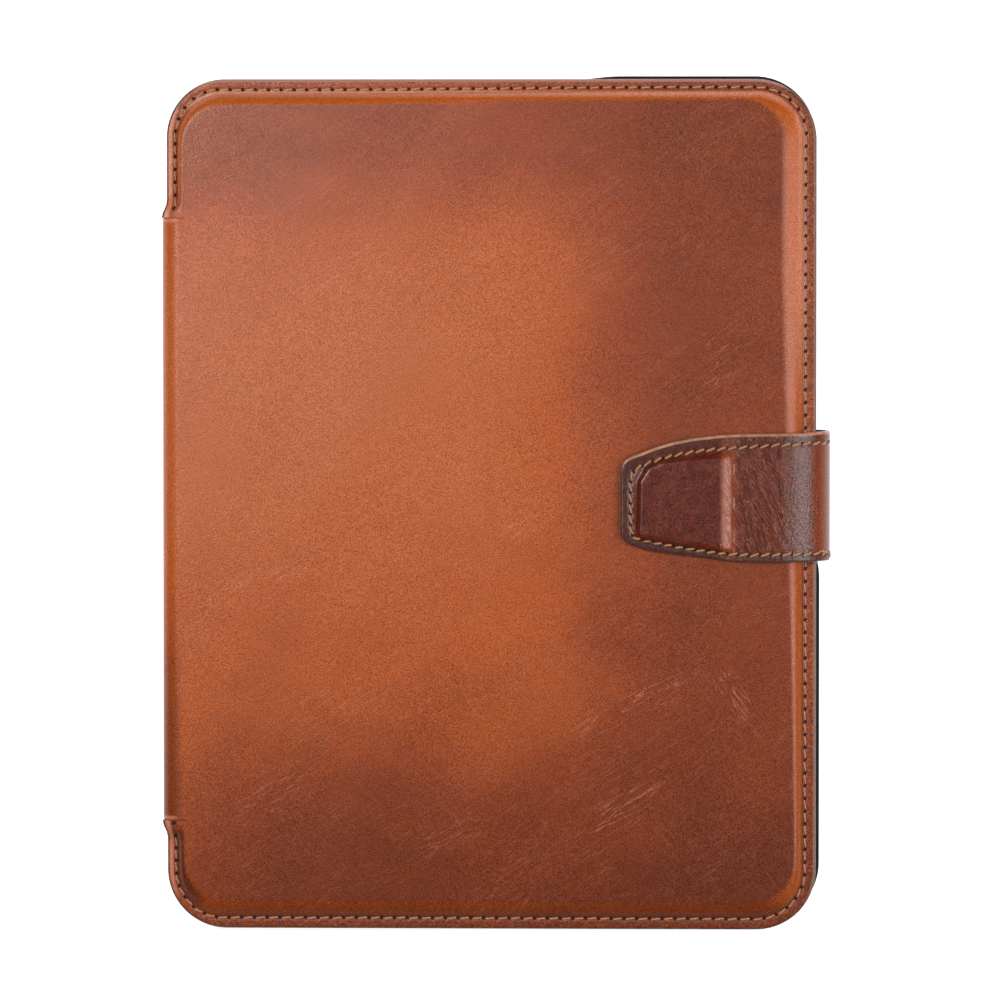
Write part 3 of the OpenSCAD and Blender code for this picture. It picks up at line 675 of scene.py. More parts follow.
def to_spine(x, y):
    """The leaf's free edge runs out a little to meet the spine's face."""
    near = np.minimum(np.abs(y - CUT_HIGH) + 9 * (y < CUT_HIGH), np.abs(y - CUT_LOW) + 9 * (y > CUT_LOW))
    return x + SPINE_X * smooth(3.4, 0, near) * smooth(3.6, 0, x), y


front = leaf_skin("front_cover_leather", INSETS, HINGE_X, front_height, UNDER, front_marks, to_spine)
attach(front, "front_cover")
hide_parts("front_leather")

# -------- back leaf, its outer face down
BACK_HINGE_X = HINGE_X - BACK_DX
BACK_UNDER = 1.15            # where the back leather's edge ends and its lining starts
BACK_INSETS = [*INSETS[:12], 2.9, BACK_HINGE_X, 5, 8, 12, 18, 26, 36, 48, 60, 70]


def back_height(x, y, d, seam):
    return -(channel(seam) + edge_round(d))


def back_burn(x, y):
    return 0.3 + 0.3 * smooth(40, 90, np.hypot(x - W / 2, 0.75 * y)) + 0.16 * field(x, y, 50, 21)


def back_marks(x, y, d):
    margin = smooth(3.3, 2.5, d)
    return {"wear": np.zeros_like(x), "burn": back_burn(x, y) + 0.1 * margin, "patchy": 0.2 + 0.4 * margin,
            "margin": margin}


def back_warp(x, y):
    """The hand-cut back leaf is a little scant beside the strap's upper half and at the head's left."""
    x = x - 1.0 * smooth(112, 136, x) * smooth(-17, -9, y)
    y = y - 0.95 * smooth(62, 86, y) * smooth(98, 86, x)
    return to_spine(x, y)


back = leaf_skin("back_cover_leather", BACK_INSETS, BACK_HINGE_X, back_height, BACK_UNDER, back_marks, back_warp,
                 (BACK_DX, BACK_DY), flip=True)
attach(back, "back")
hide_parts("back_leather")


# -------- the leather and the lining that turn round the spine
def beside(path, off, y, lift=0.0):
    """A grid of points: a path in x and z moved off to its right-hand side, at each y."""
    side = -normals2(path)
    x = path[:, :1] + side[:, :1] * off
    z = path[:, 1:] + side[:, 1:] * off + lift
    return np.stack(np.broadcast_arrays(x, y, z), 2)


def hinge_strip(name, outer, thick, mat, short=0.0, marks=None, bulge=None):
    """A strip as long as the spine, whose section is the path outer, in x and z, and thick to its right-hand side."""
    path, s = resample(outer, 0.28)
    y1, y2 = SPINE_Y1 + short, SPINE_Y2 - short
    ends = np.array([0.08, 0.2, 0.4, 0.7])
    ys = np.unique(np.concatenate([np.linspace(y1, y2, 110), y1 + ends, y2 - ends]))
    end = np.minimum(ys - y1, y2 - ys)
    lift = bulge(path[:, :1], ys, path[:, 1:]) if bulge else 0.0
    outside = beside(path, math.copysign(1, thick) * edge_round(end, 0.2), ys, lift)
    verts, faces = shell(outside, beside(path, -thick, ys))
    half = len(verts) // 2
    attrs = {
        "edge_d": extend(np.minimum(np.tile(end + 0.35, len(path)), 9), half, 0), "seam_s": np.full(2 * half, 1.0),
        "seam_d": np.full(2 * half, 9.0),
    }
    if marks:
        attrs.update(marks(verts, np.tile(np.repeat(s, len(ys)), 2)))
    return make(name, verts, faces, mat, attrs)


def arc(cx, cz, rx, rz, a1, a2, n=24):
    a = np.radians(np.linspace(a1, a2, n))
    return np.column_stack([cx + rx * np.cos(a), cz + rz * np.sin(a)])


upper_bend = arc(FOLD_X, FOLD_Z2, FOLD_R, SKIN_TOP - FOLD_Z2, 90, 180)
upper_path = np.concatenate([[[HINGE_X, SKIN_TOP]], upper_bend, [[SPINE_X, MID_Z]]])
lower_bend = arc(FOLD_X, FOLD_Z1, FOLD_R, FOLD_R, 180, 270)
lower_path = np.concatenate([[[SPINE_X, MID_Z]], lower_bend, [[HINGE_X, 0.0]]])


def hinge_marks(x, y, wear, burn, patchy):
    a, b = creasing(x, y)
    return {"wear": wear, "burn": burn, "patchy": np.full(len(x), patchy), "margin": 0 * x,
            "crease_a": a, "crease_b": b}


def upper_marks(verts, s):
    x, y = np.maximum(verts[:, 0], 0), verts[:, 1]
    bend = smooth(0.5, 2.5, s) * smooth(8.0, 5.0, s)
    # painted shade: the fold's bend is darkened towards the foot
    return hinge_marks(x, y, 0.25 * bend, burnish(x, y) + 0.55 * bend * smooth(0, -55, y), 0.16)


def lower_marks(verts, s):
    x, y = np.maximum(verts[:, 0], 0), verts[:, 1]
    low = smooth(4.0, 8.0, s)
    return hinge_marks(x, y, 0 * s, burnish(x, y) * (1 - low) + back_burn(x, y) * low, 0.2)


def top_wave(x, y, z):
    """The panel's waves carried on over the strip's flat start."""
    return waves(*np.broadcast_arrays(x, y)) * smooth(2.2, HINGE_X, x) * (z > MID_Z)


front_hinge = hinge_strip("spine_leather_upper", upper_path, 1.2, LEATHER, marks=upper_marks, bulge=top_wave)
metres([[HINGE_X, 0, TOP]])[0]
metres([[-2.2, 0, 11.2]])[0]
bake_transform(front_hinge)
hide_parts("spine_leather", "spine_front_fold")
back_hinge = hinge_strip("spine_leather_lower", lower_path, 1.2, LEATHER, marks=lower_marks)
metres([[HINGE_X, 0, 0]])[0]
metres([[-2.2, 0, 5.4]])[0]
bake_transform(back_hinge)
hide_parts("spine_back_fold")

WALL_X = SPINE_X + 2.25
upper_lining_path = np.array([
    [6.5, LINING], [5.4, LINING], [4.75, LINING + 0.1], [4.2, LINING + 0.5], [3.6, LINING + 1.3], [3.0, 14.7],
    [2.2, 14.75], [1.5, 14.3], [1.0, 13.6], [0.85, 12.8], [0.9, 12.2], [WALL_X, 11.4], [WALL_X, MID_Z],
])
lower_lining_path = np.array([
    [WALL_X, MID_Z], [WALL_X, 5.2], [0.9, 4.4], [0.85, 3.8], [1.0, 3.0], [1.5, 2.3], [2.2, 1.9], [3.3, 1.9], [4.1, 2.5],
    [4.8, 2.8], [5.6, 2.82],
])


def rounded_path(p):
    """Chaikin's corner cutting, twice, with the ends kept."""
    for _ in range(2):
        q = [p[0]]
        for a, b in zip(p[:-1], p[1:]):
            q += [0.75 * a + 0.25 * b, 0.25 * a + 0.75 * b]
        q.append(p[-1])
        p = np.array(q)
    return p


front_hinge_lining = hinge_strip("spine_lining_upper", rounded_path(upper_lining_path), -0.4, SUEDE, short=0.3)
metres([[HINGE_X + 1.2, 0, 14.4]])[0]
metres([[-1.2, 0, 10.0]])[0]
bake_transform(front_hinge_lining)
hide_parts("spine_lining")
back_hinge_lining = hinge_strip("spine_lining_lower", rounded_path(lower_lining_path), -0.4, SUEDE, short=0.3)
metres([[HINGE_X + 1.2, 0, 2.2]])[0]
metres([[-1.2, 0, 6.6]])[0]
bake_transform(back_hinge_lining)


# -------- linings of the leaves
def lining_plate(name, z1, z2, inset, cut_x, shift=(0, 0), warp=None, notch=None):
    """A plate with the leaf's outline and softened edges, cut back beside the spine.

    notch is (x, y1, y2): between those y it ends at x."""
    beside_spine = np.r_[0:I_LOW + 1, I_HIGH:N_LOOP]
    loops = []
    for d, z in ((inset + 0.12, z2), (inset, z2 - 0.12), (inset, z1 + 0.2), (inset + 0.2, z1)):
        x, y = leaf_loop(d).T
        x[beside_spine] = cut_x + (d - inset)
        if warp:
            x, y = warp(x, y)
        x, y = x + shift[0], y + shift[1]
        if notch:
            x = np.where((y > notch[1]) & (y < notch[2]), np.minimum(x, notch[0] - (d - inset)), x)
        loops.append(np.column_stack([x, y, np.full(N_LOOP, z)]))
    ring = np.arange(len(loops) * N_LOOP).reshape(-1, N_LOOP)
    faces = [tuple(ring[0])]
    for a, b in zip(ring[:-1], ring[1:]):
        faces += ring_band(b, a)
    faces.append(tuple(ring[-1][::-1]))
    return make(name, np.concatenate(loops), faces, SUEDE)


front_lining = lining_plate("front_cover_lining", LINING, UNDER, 0.35, 6.6)
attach(front_lining, "front_cover")
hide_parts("front_lining")
STRAP_Y1 = (side_low.y - Y0) / MM
STRAP_Y2 = (side_high.y - Y0) / MM
back_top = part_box("back_lining")[1].z / MM
back_lining = lining_plate("back_cover_lining", BACK_UNDER, back_top, 0.0, 5.2, (BACK_DX, BACK_DY), back_warp,
                           (138.8, STRAP_Y1 - 0.5, STRAP_Y2 + 0.5))
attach(back_lining, "back")
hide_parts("back_lining")


# -------- stitches
def tubes(name, lines, radius, mat, sides=7):
    """One mesh of closed tubes with rounded ends. Each line is a list of points."""
    angle = 2 * math.pi * np.arange(sides) / sides
    verts, faces, run, turn = [], [], [], []
    base = 0
    for pts in lines:
        pts = np.asarray(pts, float)
        tan = np.gradient(pts, axis=0)
        tan /= np.linalg.norm(tan, axis=1)[:, None]
        ref = np.array([0.0, 0.0, 1.0]) if abs(tan[0, 2]) < 0.9 else np.array([0.0, 1.0, 0.0])
        u = np.cross(tan, ref)
        u /= np.linalg.norm(u, axis=1)[:, None]
        v = np.cross(u, tan)
        s = run_along(pts)
        end = np.clip(np.minimum(s, s[-1] - s) / (radius * 0.9), 0, 1)
        rad = (radius * (0.35 + 0.65 * np.sqrt(end)))[:, None, None]
        out = u[:, None] * np.cos(angle)[:, None] + v[:, None] * np.sin(angle)[:, None]
        verts.append((pts[:, None] + out * rad).reshape(-1, 3))
        run.append(np.repeat(s, sides))
        turn.append(np.tile(angle, len(pts)))
        ring = base + np.arange(len(pts) * sides).reshape(-1, sides)
        for a, b in zip(ring[:-1], ring[1:]):
            faces += ring_band(a, b)
        faces += [tuple(ring[0][::-1]), tuple(ring[-1])]
        base += ring.size
    attrs = {"run": np.concatenate(run), "turn": np.concatenate(turn)}
    return make(name, np.concatenate(verts), faces, mat, attrs, sharp=75)


def beside_line(line, s, off):
    """A place beside a line of stitches, at distance s along it and off to its left."""
    p, tan = line(s)
    return p + np.array([-tan[1], tan[0]]) * off


def arch_share(q):
    """How high an arched thread stands along its length, from 0 at its ends to 1."""
    return math.sin(math.pi * q) ** 0.6


def stitch_lines(line, z_of, slant, lift, down=False):
    """Short arched threads from hole to hole round a leaf.

    line(s) gives a point in x and y and the direction there."""
    out = []
    for k in range(math.ceil(S_FROM / PITCH), math.floor(S_TO / PITCH)):
        a, b = k * PITCH + 0.22, (k + 1) * PITCH - 0.22
        jitter = rng.normal(0, 0.03, 3)
        pts = []
        for q in np.linspace(0, 1, 8):
            x, y = beside_line(line, a + (b - a) * q, slant * (q - 0.5) + jitter[0])
            arch = arch_share(q)
            rise = lift * arch - 0.25 * (1 - arch) + jitter[1] * 0.5 * arch
            pts.append((x, y, z_of(x, y) + (-rise if down else rise)))
        out.append(pts)
    return out


def point_on(s, run, path, step):
    """The place on a path at distance s, and the direction there."""
    p = at_run(s, run, path)
    t = at_run(s + step, run, path) - p
    return p, t / (np.linalg.norm(t) + 1e-9)


def leaf_seam(s):
    p, t = point_on(s, SEAM_S, SEAM_XY, 0.4)
    return np.array(to_spine(*p)), t


S_FROM, S_TO = SEAM_S[I_LOW] + 1.0, SEAM_S[I_HIGH] - 1.0


def front_seam_z(x, y):
    return float(panel_height(np.array([x]), np.array([y]))[0][0]) - 0.14


front_stitches = tubes("front_cover_stitches", stitch_lines(leaf_seam, front_seam_z, 0.3, 0.13), 0.18, THREAD)
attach(front_stitches, "front_cover")
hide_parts("front_thread")
inner_lines = stitch_lines(leaf_seam, lambda x, y: LINING + 0.02, 0.12, 0.08, down=True)
inner_stitches = tubes("front_lining_stitches", inner_lines, 0.19, THREAD)
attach(inner_stitches, "front_cover")


def back_seam(s):
    p, t = leaf_seam(s)
    return np.array(back_warp(*p)) + [BACK_DX, BACK_DY], t


back_lines = stitch_lines(back_seam, lambda x, y: 0.3, 0.2, 0.05, down=True)
back_stitches = tubes("back_cover_stitches", back_lines, 0.2, THREAD)
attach(back_stitches, "back")
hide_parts("back_thread")

# -------- strap
UP_X = np.array([99.3, 99.36, 99.6, 100.0, 100.7, 101.8, 103.5, 107.5, 112.2, 117.6, 124.2, 131, 139, 145, 170])
UP_Y = np.array([7.4, 8.0, 8.9, 9.6, 10.25, 10.85, 11.45, 12.95, 14.2, 15.05, 15.6, 15.72, 15.85, 16.1, 16.1])
DN_X = np.array([99.3, 99.36, 99.6, 100.0, 100.6, 101.6, 105.6, 110, 116.5, 124.2, 131, 139, 145, 170])
DN_Y = np.array([-5.8, -6.3, -7.0, -7.6, -8.1, -8.6, -9.75, -10.4, -11.1, -12.1, -12.3, -12.3, -12.1, -12.1])


def spline(xs, ys, x):
    """Smooth curve through points (cubic with limited slopes)."""
    h = np.diff(xs)
    slope = np.diff(ys) / h
    both = slope[:-1] * slope[1:]
    m = np.where(both > 0, 2 * both / (slope[:-1] + slope[1:] + 1e-12), 0)
    m = np.concatenate([[slope[0]], m, [slope[-1]]])
    k = np.clip(np.searchsorted(xs, x) - 1, 0, len(h) - 1)
    t = (x - xs[k]) / h[k]
    return ((2 * t ** 3 - 3 * t ** 2 + 1) * ys[k] + (t ** 3 - 2 * t ** 2 + t) * h[k] * m[k]
            + (-2 * t ** 3 + 3 * t ** 2) * ys[k + 1] + (t ** 3 - t ** 2) * h[k] * m[k + 1])


def strap_up(x):
    return spline(UP_X, UP_Y, x)


def strap_down(x):
    return spline(DN_X, DN_Y, x)


BEND_X = 131.0              # where the strap starts to bend down
BEND_DX, BEND_DZ = STRAP_X - BEND_X, 8.2
BEND_POWER = 2 / 2.5        # the bend is a little squarer than an ellipse
SIDE_MID = 10.0


def strap_profile():
    """The strap's outer face in x and z from its end to the middle of the side."""
    flat = np.column_stack([np.linspace(TIP_X, BEND_X, 100), np.full(100, STRAP_TOP)])
    a = np.linspace(math.pi / 2, 0, 80)[1:]
    x = BEND_X + BEND_DX * np.cos(a) ** BEND_POWER
    z = STRAP_TOP - BEND_DZ + BEND_DZ * np.sin(a) ** BEND_POWER
    return np.concatenate([flat, np.column_stack([x, z]), [[STRAP_X, SIDE_MID]]])


PROFILE = strap_profile()
PROF_S = run_along(PROFILE)
PROF_N = normals2(PROFILE)
STRAP_END_S = PROF_S[-1]


def on_profile(s, height):
    """Places on the strap's section at distance s from its end, raised by height."""
    x, z = at_run(s, PROF_S, PROFILE)
    nx, nz = at_run(s, PROF_S, PROF_N)
    k = np.hypot(nx, nz)
    return x + nx / k * height, z + nz / k * height


# the line of stitches, with x measured along the strap
STITCH_POINTS = np.array([
    [150.5, 13.7], [143.4, 13.7], [133, 13.25], [124.3, 12.65], [119.8, 12.3], [114.2, 11.75], [108.7, 10.5],
    [105.2, 9.3], [103.0, 8.3], [101.9, 7.3], [101.4, 5.8], [101.35, 0.5], [101.4, -5.0], [101.9, -6.6],
    [103.2, -7.4], [113, -9.2], [124.3, -10.75], [133, -10.6], [143.1, -10.4], [150.5, -10.4],
])
STITCH_Y1, STITCH_Y2 = STITCH_POINTS[-1, 1], STITCH_POINTS[0, 1]
seam_fine, seam_run = resample(rounded_path(STITCH_POINTS), 0.25)


def nearest(points, line):
    """Distance and number of the nearest place on a line for each point, in blocks to spare memory."""
    best, which = [], []
    for c in range(0, len(points), 2000):
        d = np.linalg.norm(points[c:c + 2000, None] - line, axis=2)
        which.append(d.argmin(1))
        best.append(d.min(1))
    return np.concatenate(best), np.concatenate(which)


outline_x = TIP_X + np.concatenate([np.linspace(0, 4, 60), np.linspace(4.2, STRAP_END_S + 3, 120)])
outline, _ = resample(np.concatenate([
    np.column_stack([outline_x, strap_up(outline_x)])[::-1],
    np.column_stack([np.full(30, TIP_X), np.linspace(UP_Y[0], DN_Y[0], 30)]),
    np.column_stack([outline_x, strap_down(outline_x)]),
]), 0.15)


def polygon_sd(x, y, corners):
    """Signed distance to a convex polygon given anticlockwise, negative inside."""
    inside, best = np.full(x.shape, -1e9), np.full(x.shape, 1e9)
    for (ax, ay), (bx, by) in zip(corners, corners[1:] + corners[:1]):
        ex, ey = bx - ax, by - ay
        length = math.hypot(ex, ey)
        out = ((x - ax) * ey - (y - ay) * ex) / length
        inside = np.maximum(inside, out)
        k = np.clip(((x - ax) * ex + (y - ay) * ey) / length ** 2, 0, 1)
        best = np.minimum(best, np.hypot(x - ax - k * ex, y - ay - k * ey))
    return np.where(inside < 0, inside, best)


PAD = [(104.4, -5.9), (122.6, -8.75), (122.6, 9.9), (108.8, 8.6), (106.0, 7.3), (104.6, 5.0)]
PAD_CORNER = 1.7            # the pad reaches this much past its corner points


def pad_height(x, y):
    """The raised trapezium over the magnet, steep on three sides and easy towards the bend. Also the share of it."""
    sd = polygon_sd(x, y, PAD) - PAD_CORNER
    steep = np.clip(-sd / 1.05, 0, 1)
    easy = np.clip((124.3 - x) / 3.7, 0, 1)
    t = np.clip(1 - ((1 - steep) ** 2.5 + (1 - easy) ** 2.5) ** 0.4, 0, 1)
    return 1.02 * (1 - (1 - t) ** 1.9), t


EDGE_STEPS = np.array([0, 0.06, 0.16, 0.32, 0.6])


def strap_sheet():
    """The strap's points as it lies flat: distances from its end, and rows of y."""
    s = np.concatenate([[0, 0.03, 0.08, 0.16, 0.3, 0.5, 0.75], np.arange(1.0, 7.0, 0.3), np.arange(7.0, 20, 0.6),
                        np.arange(20, 28, 0.35), np.arange(28, STRAP_END_S, 0.5), [STRAP_END_S]])
    s = np.unique(np.round(s, 4))
    inner = np.array([*EDGE_STEPS, 1.0, 1.5, 2.1, 2.7, 3.2])
    rows = []
    for a, b in zip(strap_up(TIP_X + s), strap_down(TIP_X + s)):
        k = min(1.0, (a - b) / 13.0)
        mid = np.linspace(a - inner[-1] * k, b + inner[-1] * k, 44)[1:-1]
        rows.append(np.concatenate([a - inner * k, mid, b + inner[::-1] * k]))
    return s, np.array(rows)


def seam_dip(d):
    """How deep the strap's stitches pull, at a distance from them."""
    return 0.16 * np.exp(-((d / 0.5) ** 2))


def strap_piece(name, top, bottom, mat, relief):
    """A layer of the strap's upper half between two heights over its outer face."""
    s, ys = SHEET
    s, y = np.repeat(s, ys.shape[1]), ys.ravel()
    x = TIP_X + s
    flat = np.column_stack([x, y])
    n = len(flat)
    edge, _ = nearest(flat, outline)
    seam, which = nearest(flat, seam_fine)
    pad, t = pad_height(x, y)
    h = np.zeros(n)
    if relief:
        # the hide puckers a little behind the pad
        pucker = smooth(22, 26, s) * smooth(40, 33, s)
        h = pad + edge_round(edge, 0.38) - seam_dip(seam)
        h = h + 0.03 * pucker * np.sin(x * 2.6 + y * 0.9 + np.sin(y * 0.8) * 1.3)

    def grid(height):
        px, pz = on_profile(s, height)
        return np.column_stack([px, y, pz]).reshape((*ys.shape, 3))

    verts, faces = shell(grid(h + top), grid(np.full(n, bottom)))
    behind = smooth(120.6, 122.0, x) * smooth(125.0, 123.6, x)
    end = smooth(139.5, 143.5, x)
    wear = np.maximum(0.55 * behind * smooth(0, 0.5, t + 0.3), 0.35 * end * smooth(149.5, 146, x))
    return make(name, verts, faces, mat, {
        "edge_d": extend(edge, n, 0), "seam_s": extend(seam_run[which], n, 1), "seam_d": extend(seam, n, 9),
        "wear": extend(wear, n, 0), "burn": extend(0.55 * smooth(2.2, 1.2, edge), n, 0.3), "run": np.tile(s, 2),
    })


SHEET = strap_sheet()
strap_skin = strap_piece("strap_leather_upper", 0.0, -0.95, STRAP, True)
BLEND_A = metres([[143.6, 0, 16.0]])[0]
BLEND_B = metres([[141.0, 0, 20.0]])[0]
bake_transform(strap_skin)
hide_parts("strap_tip_leather", "strap_upper_fold", "strap_side_leather")
strap_inner = strap_piece("strap_lining_upper", -0.97, -1.42, SUEDE, False)
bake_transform(strap_inner)
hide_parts("strap_tip_lining", "strap_side_lining")

# lower half of the strap: down the side, round, and in between the back leaf's layers
LOW_Z = 1.5
tail_end = (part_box("strap_tail")[0].x - X0) / MM
LOW_R = 4.0
low_bend = arc(STRAP_X - LOW_R, LOW_Z + LOW_R, LOW_R, LOW_R, 360, 270)
low_profile = np.concatenate([[[STRAP_X, SIDE_MID]], low_bend, [[138.0, LOW_Z - 0.15], [tail_end, LOW_Z - 0.2]]])


def low_strip(name, depth, thick, mat):
    """A layer of the strap's lower half, from depth inside its outer face. It narrows to the tail's width."""
    path, s = resample(low_profile, 0.4)
    y1, y2 = float(strap_down(145.0)), float(strap_up(145.0))
    middle = (y1 + y2) / 2
    ys = np.concatenate([y1 + EDGE_STEPS, np.linspace(y1 + 1, y2 - 1, 40), y2 - EDGE_STEPS[::-1]])
    end = np.minimum(ys - y1, y2 - ys)
    seam = np.minimum(np.abs(ys - STITCH_Y2), np.abs(ys - STITCH_Y1))
    drop = depth - edge_round(end, 0.38) + (seam_dip(seam) if depth == 0 else 0)
    tail_low, tail_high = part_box("strap_tail")
    share = (tail_high.y - tail_low.y) / MM / (y2 - y1)
    yy = (ys - middle) * np.interp(path[:, 0], [138.5, 140.5], [share, 1.0])[:, None] + middle
    verts, faces = shell(beside(path, drop, yy), beside(path, depth + thick, yy))
    n = len(verts) // 2
    end, seam, s = np.tile(end, len(path)), np.tile(seam, len(path)), np.repeat(s, len(ys))
    return make(name, verts, faces, mat, {
        "edge_d": extend(end, n, 0), "seam_s": extend(s + seam_run[0], n, 1), "seam_d": extend(seam, n, 9),
        "wear": np.zeros(2 * n), "burn": extend(0.4 * smooth(2.2, 1.2, end), n, 0.3), "run": np.tile(s + 50, 2),
    })


LOW_A = metres([[137.5, 0, LOW_Z - 0.4]])[0]
LOW_B = metres([[STRAP_X + 0.6, 0, 7.8]])[0]
strap_low_lining = low_strip("strap_lining_lower", 0.97, 0.4, SUEDE)
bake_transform(strap_low_lining)
strap_low = low_strip("strap_leather_lower", 0, 0.95, STRAP)
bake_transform(strap_low)
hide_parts("strap_lower_fold", "strap_tail")


def strap_seam(s):
    return point_on(s, seam_run, seam_fine, 0.3)


def strap_stitches():
    """Slanting threads along the strap's seam, and a loose end at its lower corner."""
    out = []
    for k in range(1, int(seam_run[-1] / STRAP_PITCH)):
        a, b = k * STRAP_PITCH + 0.15, (k + 1) * STRAP_PITCH - 0.15
        if (k + 1) * STRAP_PITCH > seam_run[-1]:
            break
        jitter = rng.normal(0, 0.03, 2)
        pts = []
        for q in np.linspace(0, 1, 9):
            flat_x, y = beside_line(strap_seam, a + (b - a) * q, 0.62 * (q - 0.5) + jitter[0])
            if flat_x - TIP_X > STRAP_END_S - 0.3:
                break
            arch = arch_share(q)
            x, z = on_profile(flat_x - TIP_X, -0.16 + 0.2 * arch - 0.2 * (1 - arch))
            pts.append((x, y, z))
        if len(pts) == 9:
            out.append(pts)
    loose = []
    for q in np.linspace(0, 1, 12):
        x, z = on_profile(143.0 + 3.0 * math.sin(q * 1.7) - TIP_X, 0.25 + 0.5 * math.sin(math.pi * q))
        loose.append((x, -9.9 - 1.5 * q ** 1.6, z))
    return [*out, loose]


strap_thread = tubes("strap_stitches", strap_stitches(), 0.25, STRAP_THREAD)
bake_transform(strap_thread)
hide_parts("strap_thread")

# -------- carried-over CAD nodes
for ob in frame["nodes"].values():
    co = np.array([v.co for v in ob.data.vertices], float).reshape(-1, 3)
    a = ob.data.attributes.new("place", "FLOAT_VECTOR", "POINT")
    a.data.foreach_set("vector", ((co - [X0, Y0, 0]) / MM).astype(np.float32).ravel())


def screen(name):
    """A display at rest: layered hills in a few greys, with the fine grit of an ink screen."""
    t = Tree(name)
    p = t.place()
    x, y, _ = t.split(p)
    grit = (t.noise(p, 6.0, 2, 0.7) - 0.5) * 0.10
    shade = t.range(y, -70.0, 85.0, 0.74, 0.56, soft=False)
    for k, (level, amp, wave, phase, grey) in enumerate((
        (20, 10.0, 0.045, 0.3, 0.50), (-2, 9.0, 0.06, 2.1, 0.36), (-24, 8.0, 0.05, 4.0, 0.22),
        (-46, 6.0, 0.075, 1.0, 0.10),
    )):
        ridge = t.math("SINE", x * wave + phase) * amp
        ridge = ridge + t.noise(t.mapping(p, scale=(1, 0, 0)), 0.08 + 0.03 * k, 3) * amp
        under = t.range(y - ridge, level + 0.4, level - 0.4)
        tone = t.noise(p, 0.3, 3) * 0.05 + grey
        shade = shade * (1.0 - under) + tone * under
    shade = t.math("ADD", shade, grit, clamp=True)
    c = t.mix(shade, srgb(52, 54, 54), srgb(200, 200, 192))
    return t.set(Base_Color=c, Roughness=t.range(grit, -0.05, 0.05, 0.75, 0.9), Normal=t.bump(grit, 0.00003, 0.4))


def lens(name):
    """Etched glass with an opaque black border printed under it."""
    t = Tree(name)
    p = t.place()
    x, y, _ = t.split(p)
    a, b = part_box("eink_panel")
    cx, cy = ((a.x + b.x) / 2 - X0) / MM, ((a.y + b.y) / 2 - Y0) / MM
    hx, hy = (b.x - a.x) / MM / 2 - 2.6, (b.y - a.y) / MM / 2 - 3.6
    border = t.range(t.math("MAXIMUM", abs(x - cx) - hx, abs(y - cy) - hy), -0.06, 0.06)
    haze = t.noise(p, 7.0, 2, 0.6)
    c = t.mix(haze, srgb(12, 12, 13), srgb(20, 20, 22))
    return t.set(Base_Color=c, Roughness=t.range(haze, 0.3, 0.7, 0.26, 0.34), Normal=t.bump(haze, 0.000004, 0.5),
                 Alpha=t.range(border, 0.0, 1.0, 0.06, 1.0, soft=False))


def circuit(name):
    t = Tree(name)
    p = t.place()
    tracks = t.range(t.voronoi(t.mapping(p, scale=(1, 1, 0)), 0.55, "DISTANCE_TO_EDGE", 0.6), 0.02, 0.06, 1.0, 0.0)
    n = t.noise(p, 1.5, 3)
    c = t.mix(tracks, srgb(12, 62, 40), srgb(30, 104, 66))
    c = t.mix(t.range(t.voronoi(p, 0.3), 0.06, 0.09, 1.0, 0.0), c, srgb(196, 160, 84))
    return t.set(Base_Color=c, Roughness=t.range(n, 0.3, 0.7, 0.35, 0.5), Normal=t.bump(tracks, 0.00003, 0.5))


SLOT_MATS = {
    "tan_leather": LEATHER, "strap_leather": STRAP, "lining": SUEDE,
    "board": plain("grey_board", (120, 108, 92), (150, 138, 120), 1.6, 0.9, bump=0.00006),
    "foam": plain("foam", (206, 202, 190), (228, 226, 216), 2.6, 0.95, bump=0.0002),
    "thread": THREAD,
    "tray": plain("soft_tray", (17, 17, 19), (27, 27, 30), 3.2, 0.62, bump=0.00003,
                  Specular_IOR_Level=0.35),
    "shell": plain("satin_shell", (24, 24, 26), (33, 33, 36), 4.5, 0.5),
    "panel": screen("ink_screen"),
    "clear_plastic": plain("clear_film", (210, 216, 214), (226, 230, 228), 0.6, 0.2, bump=0.000004, Alpha=0.12),
    "lens": lens("cover_glass"),
    "seal": plain("gasket", (16, 16, 16), (26, 26, 26), 2.0, 0.8, bump=0.00005),
    "metal": plain("brushed_plate", (150, 150, 154), (190, 190, 194), 2.4, 0.34, 1.0),
    "light_metal": plain("cast_plate", (150, 152, 156), (182, 184, 188), 1.8, 0.45, 1.0, bump=0.00005),
    "cell": plain("pouch_cell", (92, 94, 100), (128, 130, 136), 0.9, 0.38, 0.6, bump=0.00008),
    "circuit": circuit("circuit_board"),
    "copper_flex": plain("amber_flex", (142, 84, 34), (186, 118, 52), 1.1, 0.35, 0.2),
    "chip": plain("moulded_chip", (18, 18, 19), (32, 32, 34), 4.0, 0.55),
    "glue": plain("adhesive", (190, 186, 172), (214, 210, 196), 1.2, 0.7, bump=0.00008),
    "plug": plain("white_plug", (206, 204, 196), (226, 224, 216), 2.0, 0.45),
    "magnet": plain("nickel", (172, 172, 176), (206, 206, 208), 2.2, 0.22, 1.0),
}
for sub in frame["record"]["subparts"]:
    ob = frame["nodes"][sub["node"]]
    ob.data.materials.clear()
    ob.data.materials.append(SLOT_MATS[sub["material_slot"]])

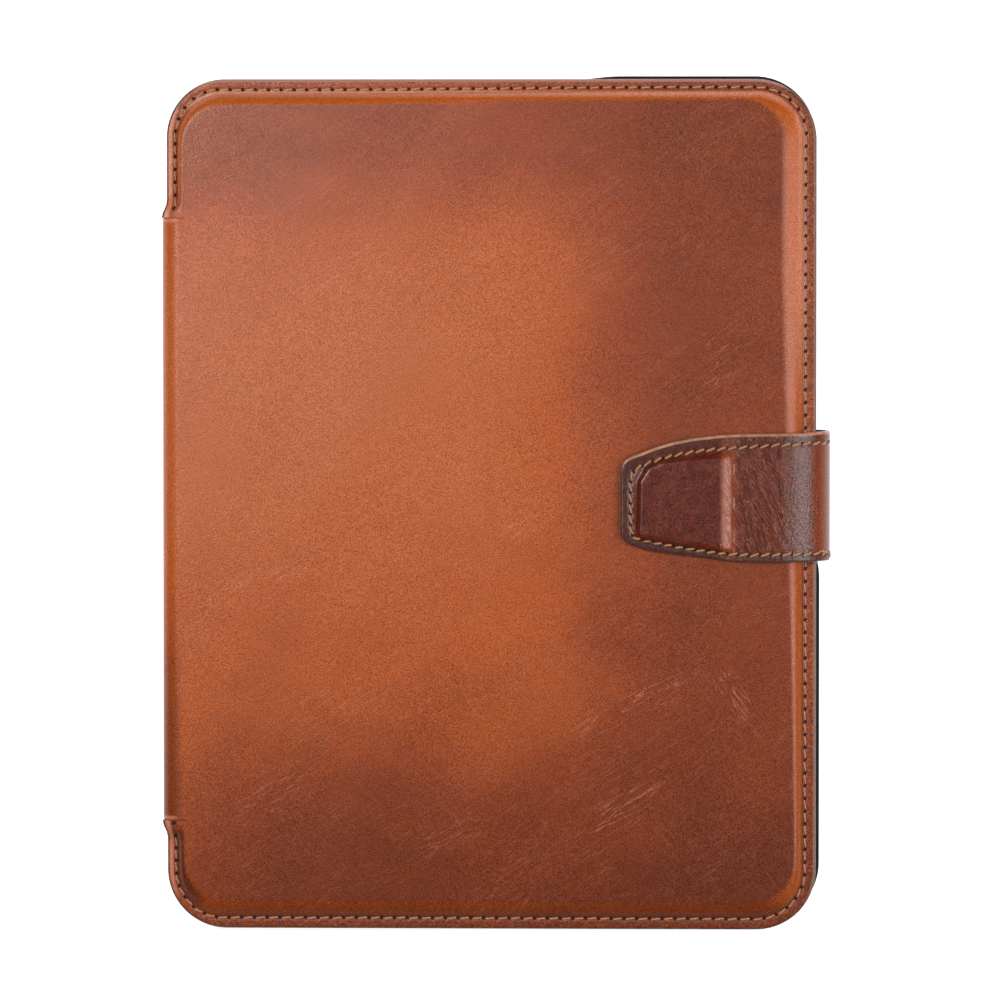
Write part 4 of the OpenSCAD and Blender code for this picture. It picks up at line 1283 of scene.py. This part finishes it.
# -------- floor, light and camera
t = Tree("floor")
tone = t.mix(t.noise(t.node("TexCoord").outputs["Object"], 3.0, 3), (0.86, 0.86, 0.86, 1), (0.90, 0.90, 0.90, 1))
t.set(Base_Color=tone, Roughness=0.95, Emission_Color=(1, 1, 1, 1), Emission_Strength=0.75)
me = bpy.data.meshes.new("floor")
me.from_pydata([(-3, -3, -0.0002), (3, -3, -0.0002), (3, 3, -0.0002), (-3, 3, -0.0002)], [], [(0, 1, 2, 3)])
floor = bpy.data.objects.new("floor", me)
me.materials.append(t.mat)
bpy.context.scene.collection.objects.link(floor)

world = bpy.data.worlds.new("studio")
bpy.context.scene.world = world
world.use_nodes = True
background = world.node_tree.nodes["Background"]
background.inputs["Color"].default_value = (1, 1, 1, 1)
background.inputs["Strength"].default_value = 0.13


def lamp(name, place, aim, size, power):
    data = bpy.data.lights.new(name, "AREA")
    data.shape = "RECTANGLE"
    data.size, data.size_y = size
    data.energy = power
    ob = bpy.data.objects.new(name, data)
    ob.location = place
    ob.rotation_euler = (Vector(aim) - Vector(place)).to_track_quat("-Z", "Y").to_euler()
    bpy.context.scene.collection.objects.link(ob)


lamp("key", (-0.26, 0.16, 0.60), (0, 0, 0), (0.10, 0.32), 2.9)
lamp("side", (0.36, -0.02, 0.48), (0.03, 0, 0), (0.18, 0.36), 2.1)

LENS, SENSOR = 300, 36
VIEW = 1000 / 4.586 * MM     # width of the view at the cover's front
cam_data = bpy.data.cameras.new("camera")
cam_data.lens = LENS
cam_data.sensor_width = SENSOR
cam = bpy.data.objects.new("camera", cam_data)
bpy.context.scene.collection.objects.link(cam)
target = Vector(metres([W / 2 + 2.0, 1.15, TOP])[0])
tilt_x, tilt_y = math.radians(2.2), math.radians(2.4)
away = Vector((math.tan(tilt_x), math.tan(tilt_y), 1)).normalized()
cam.location = target + away * (VIEW / 2 / math.tan(math.atan(SENSOR / 2 / LENS)))
x_axis = Vector((0, 1, 0)).cross(away).normalized()
cam.rotation_mode = "QUATERNION"
cam.rotation_quaternion = Matrix((x_axis, away.cross(x_axis), away)).transposed().to_quaternion()
cam_data.clip_start, cam_data.clip_end = 0.05, 20
bpy.context.scene.camera = cam
bpy.context.scene.view_settings.view_transform = "Standard"
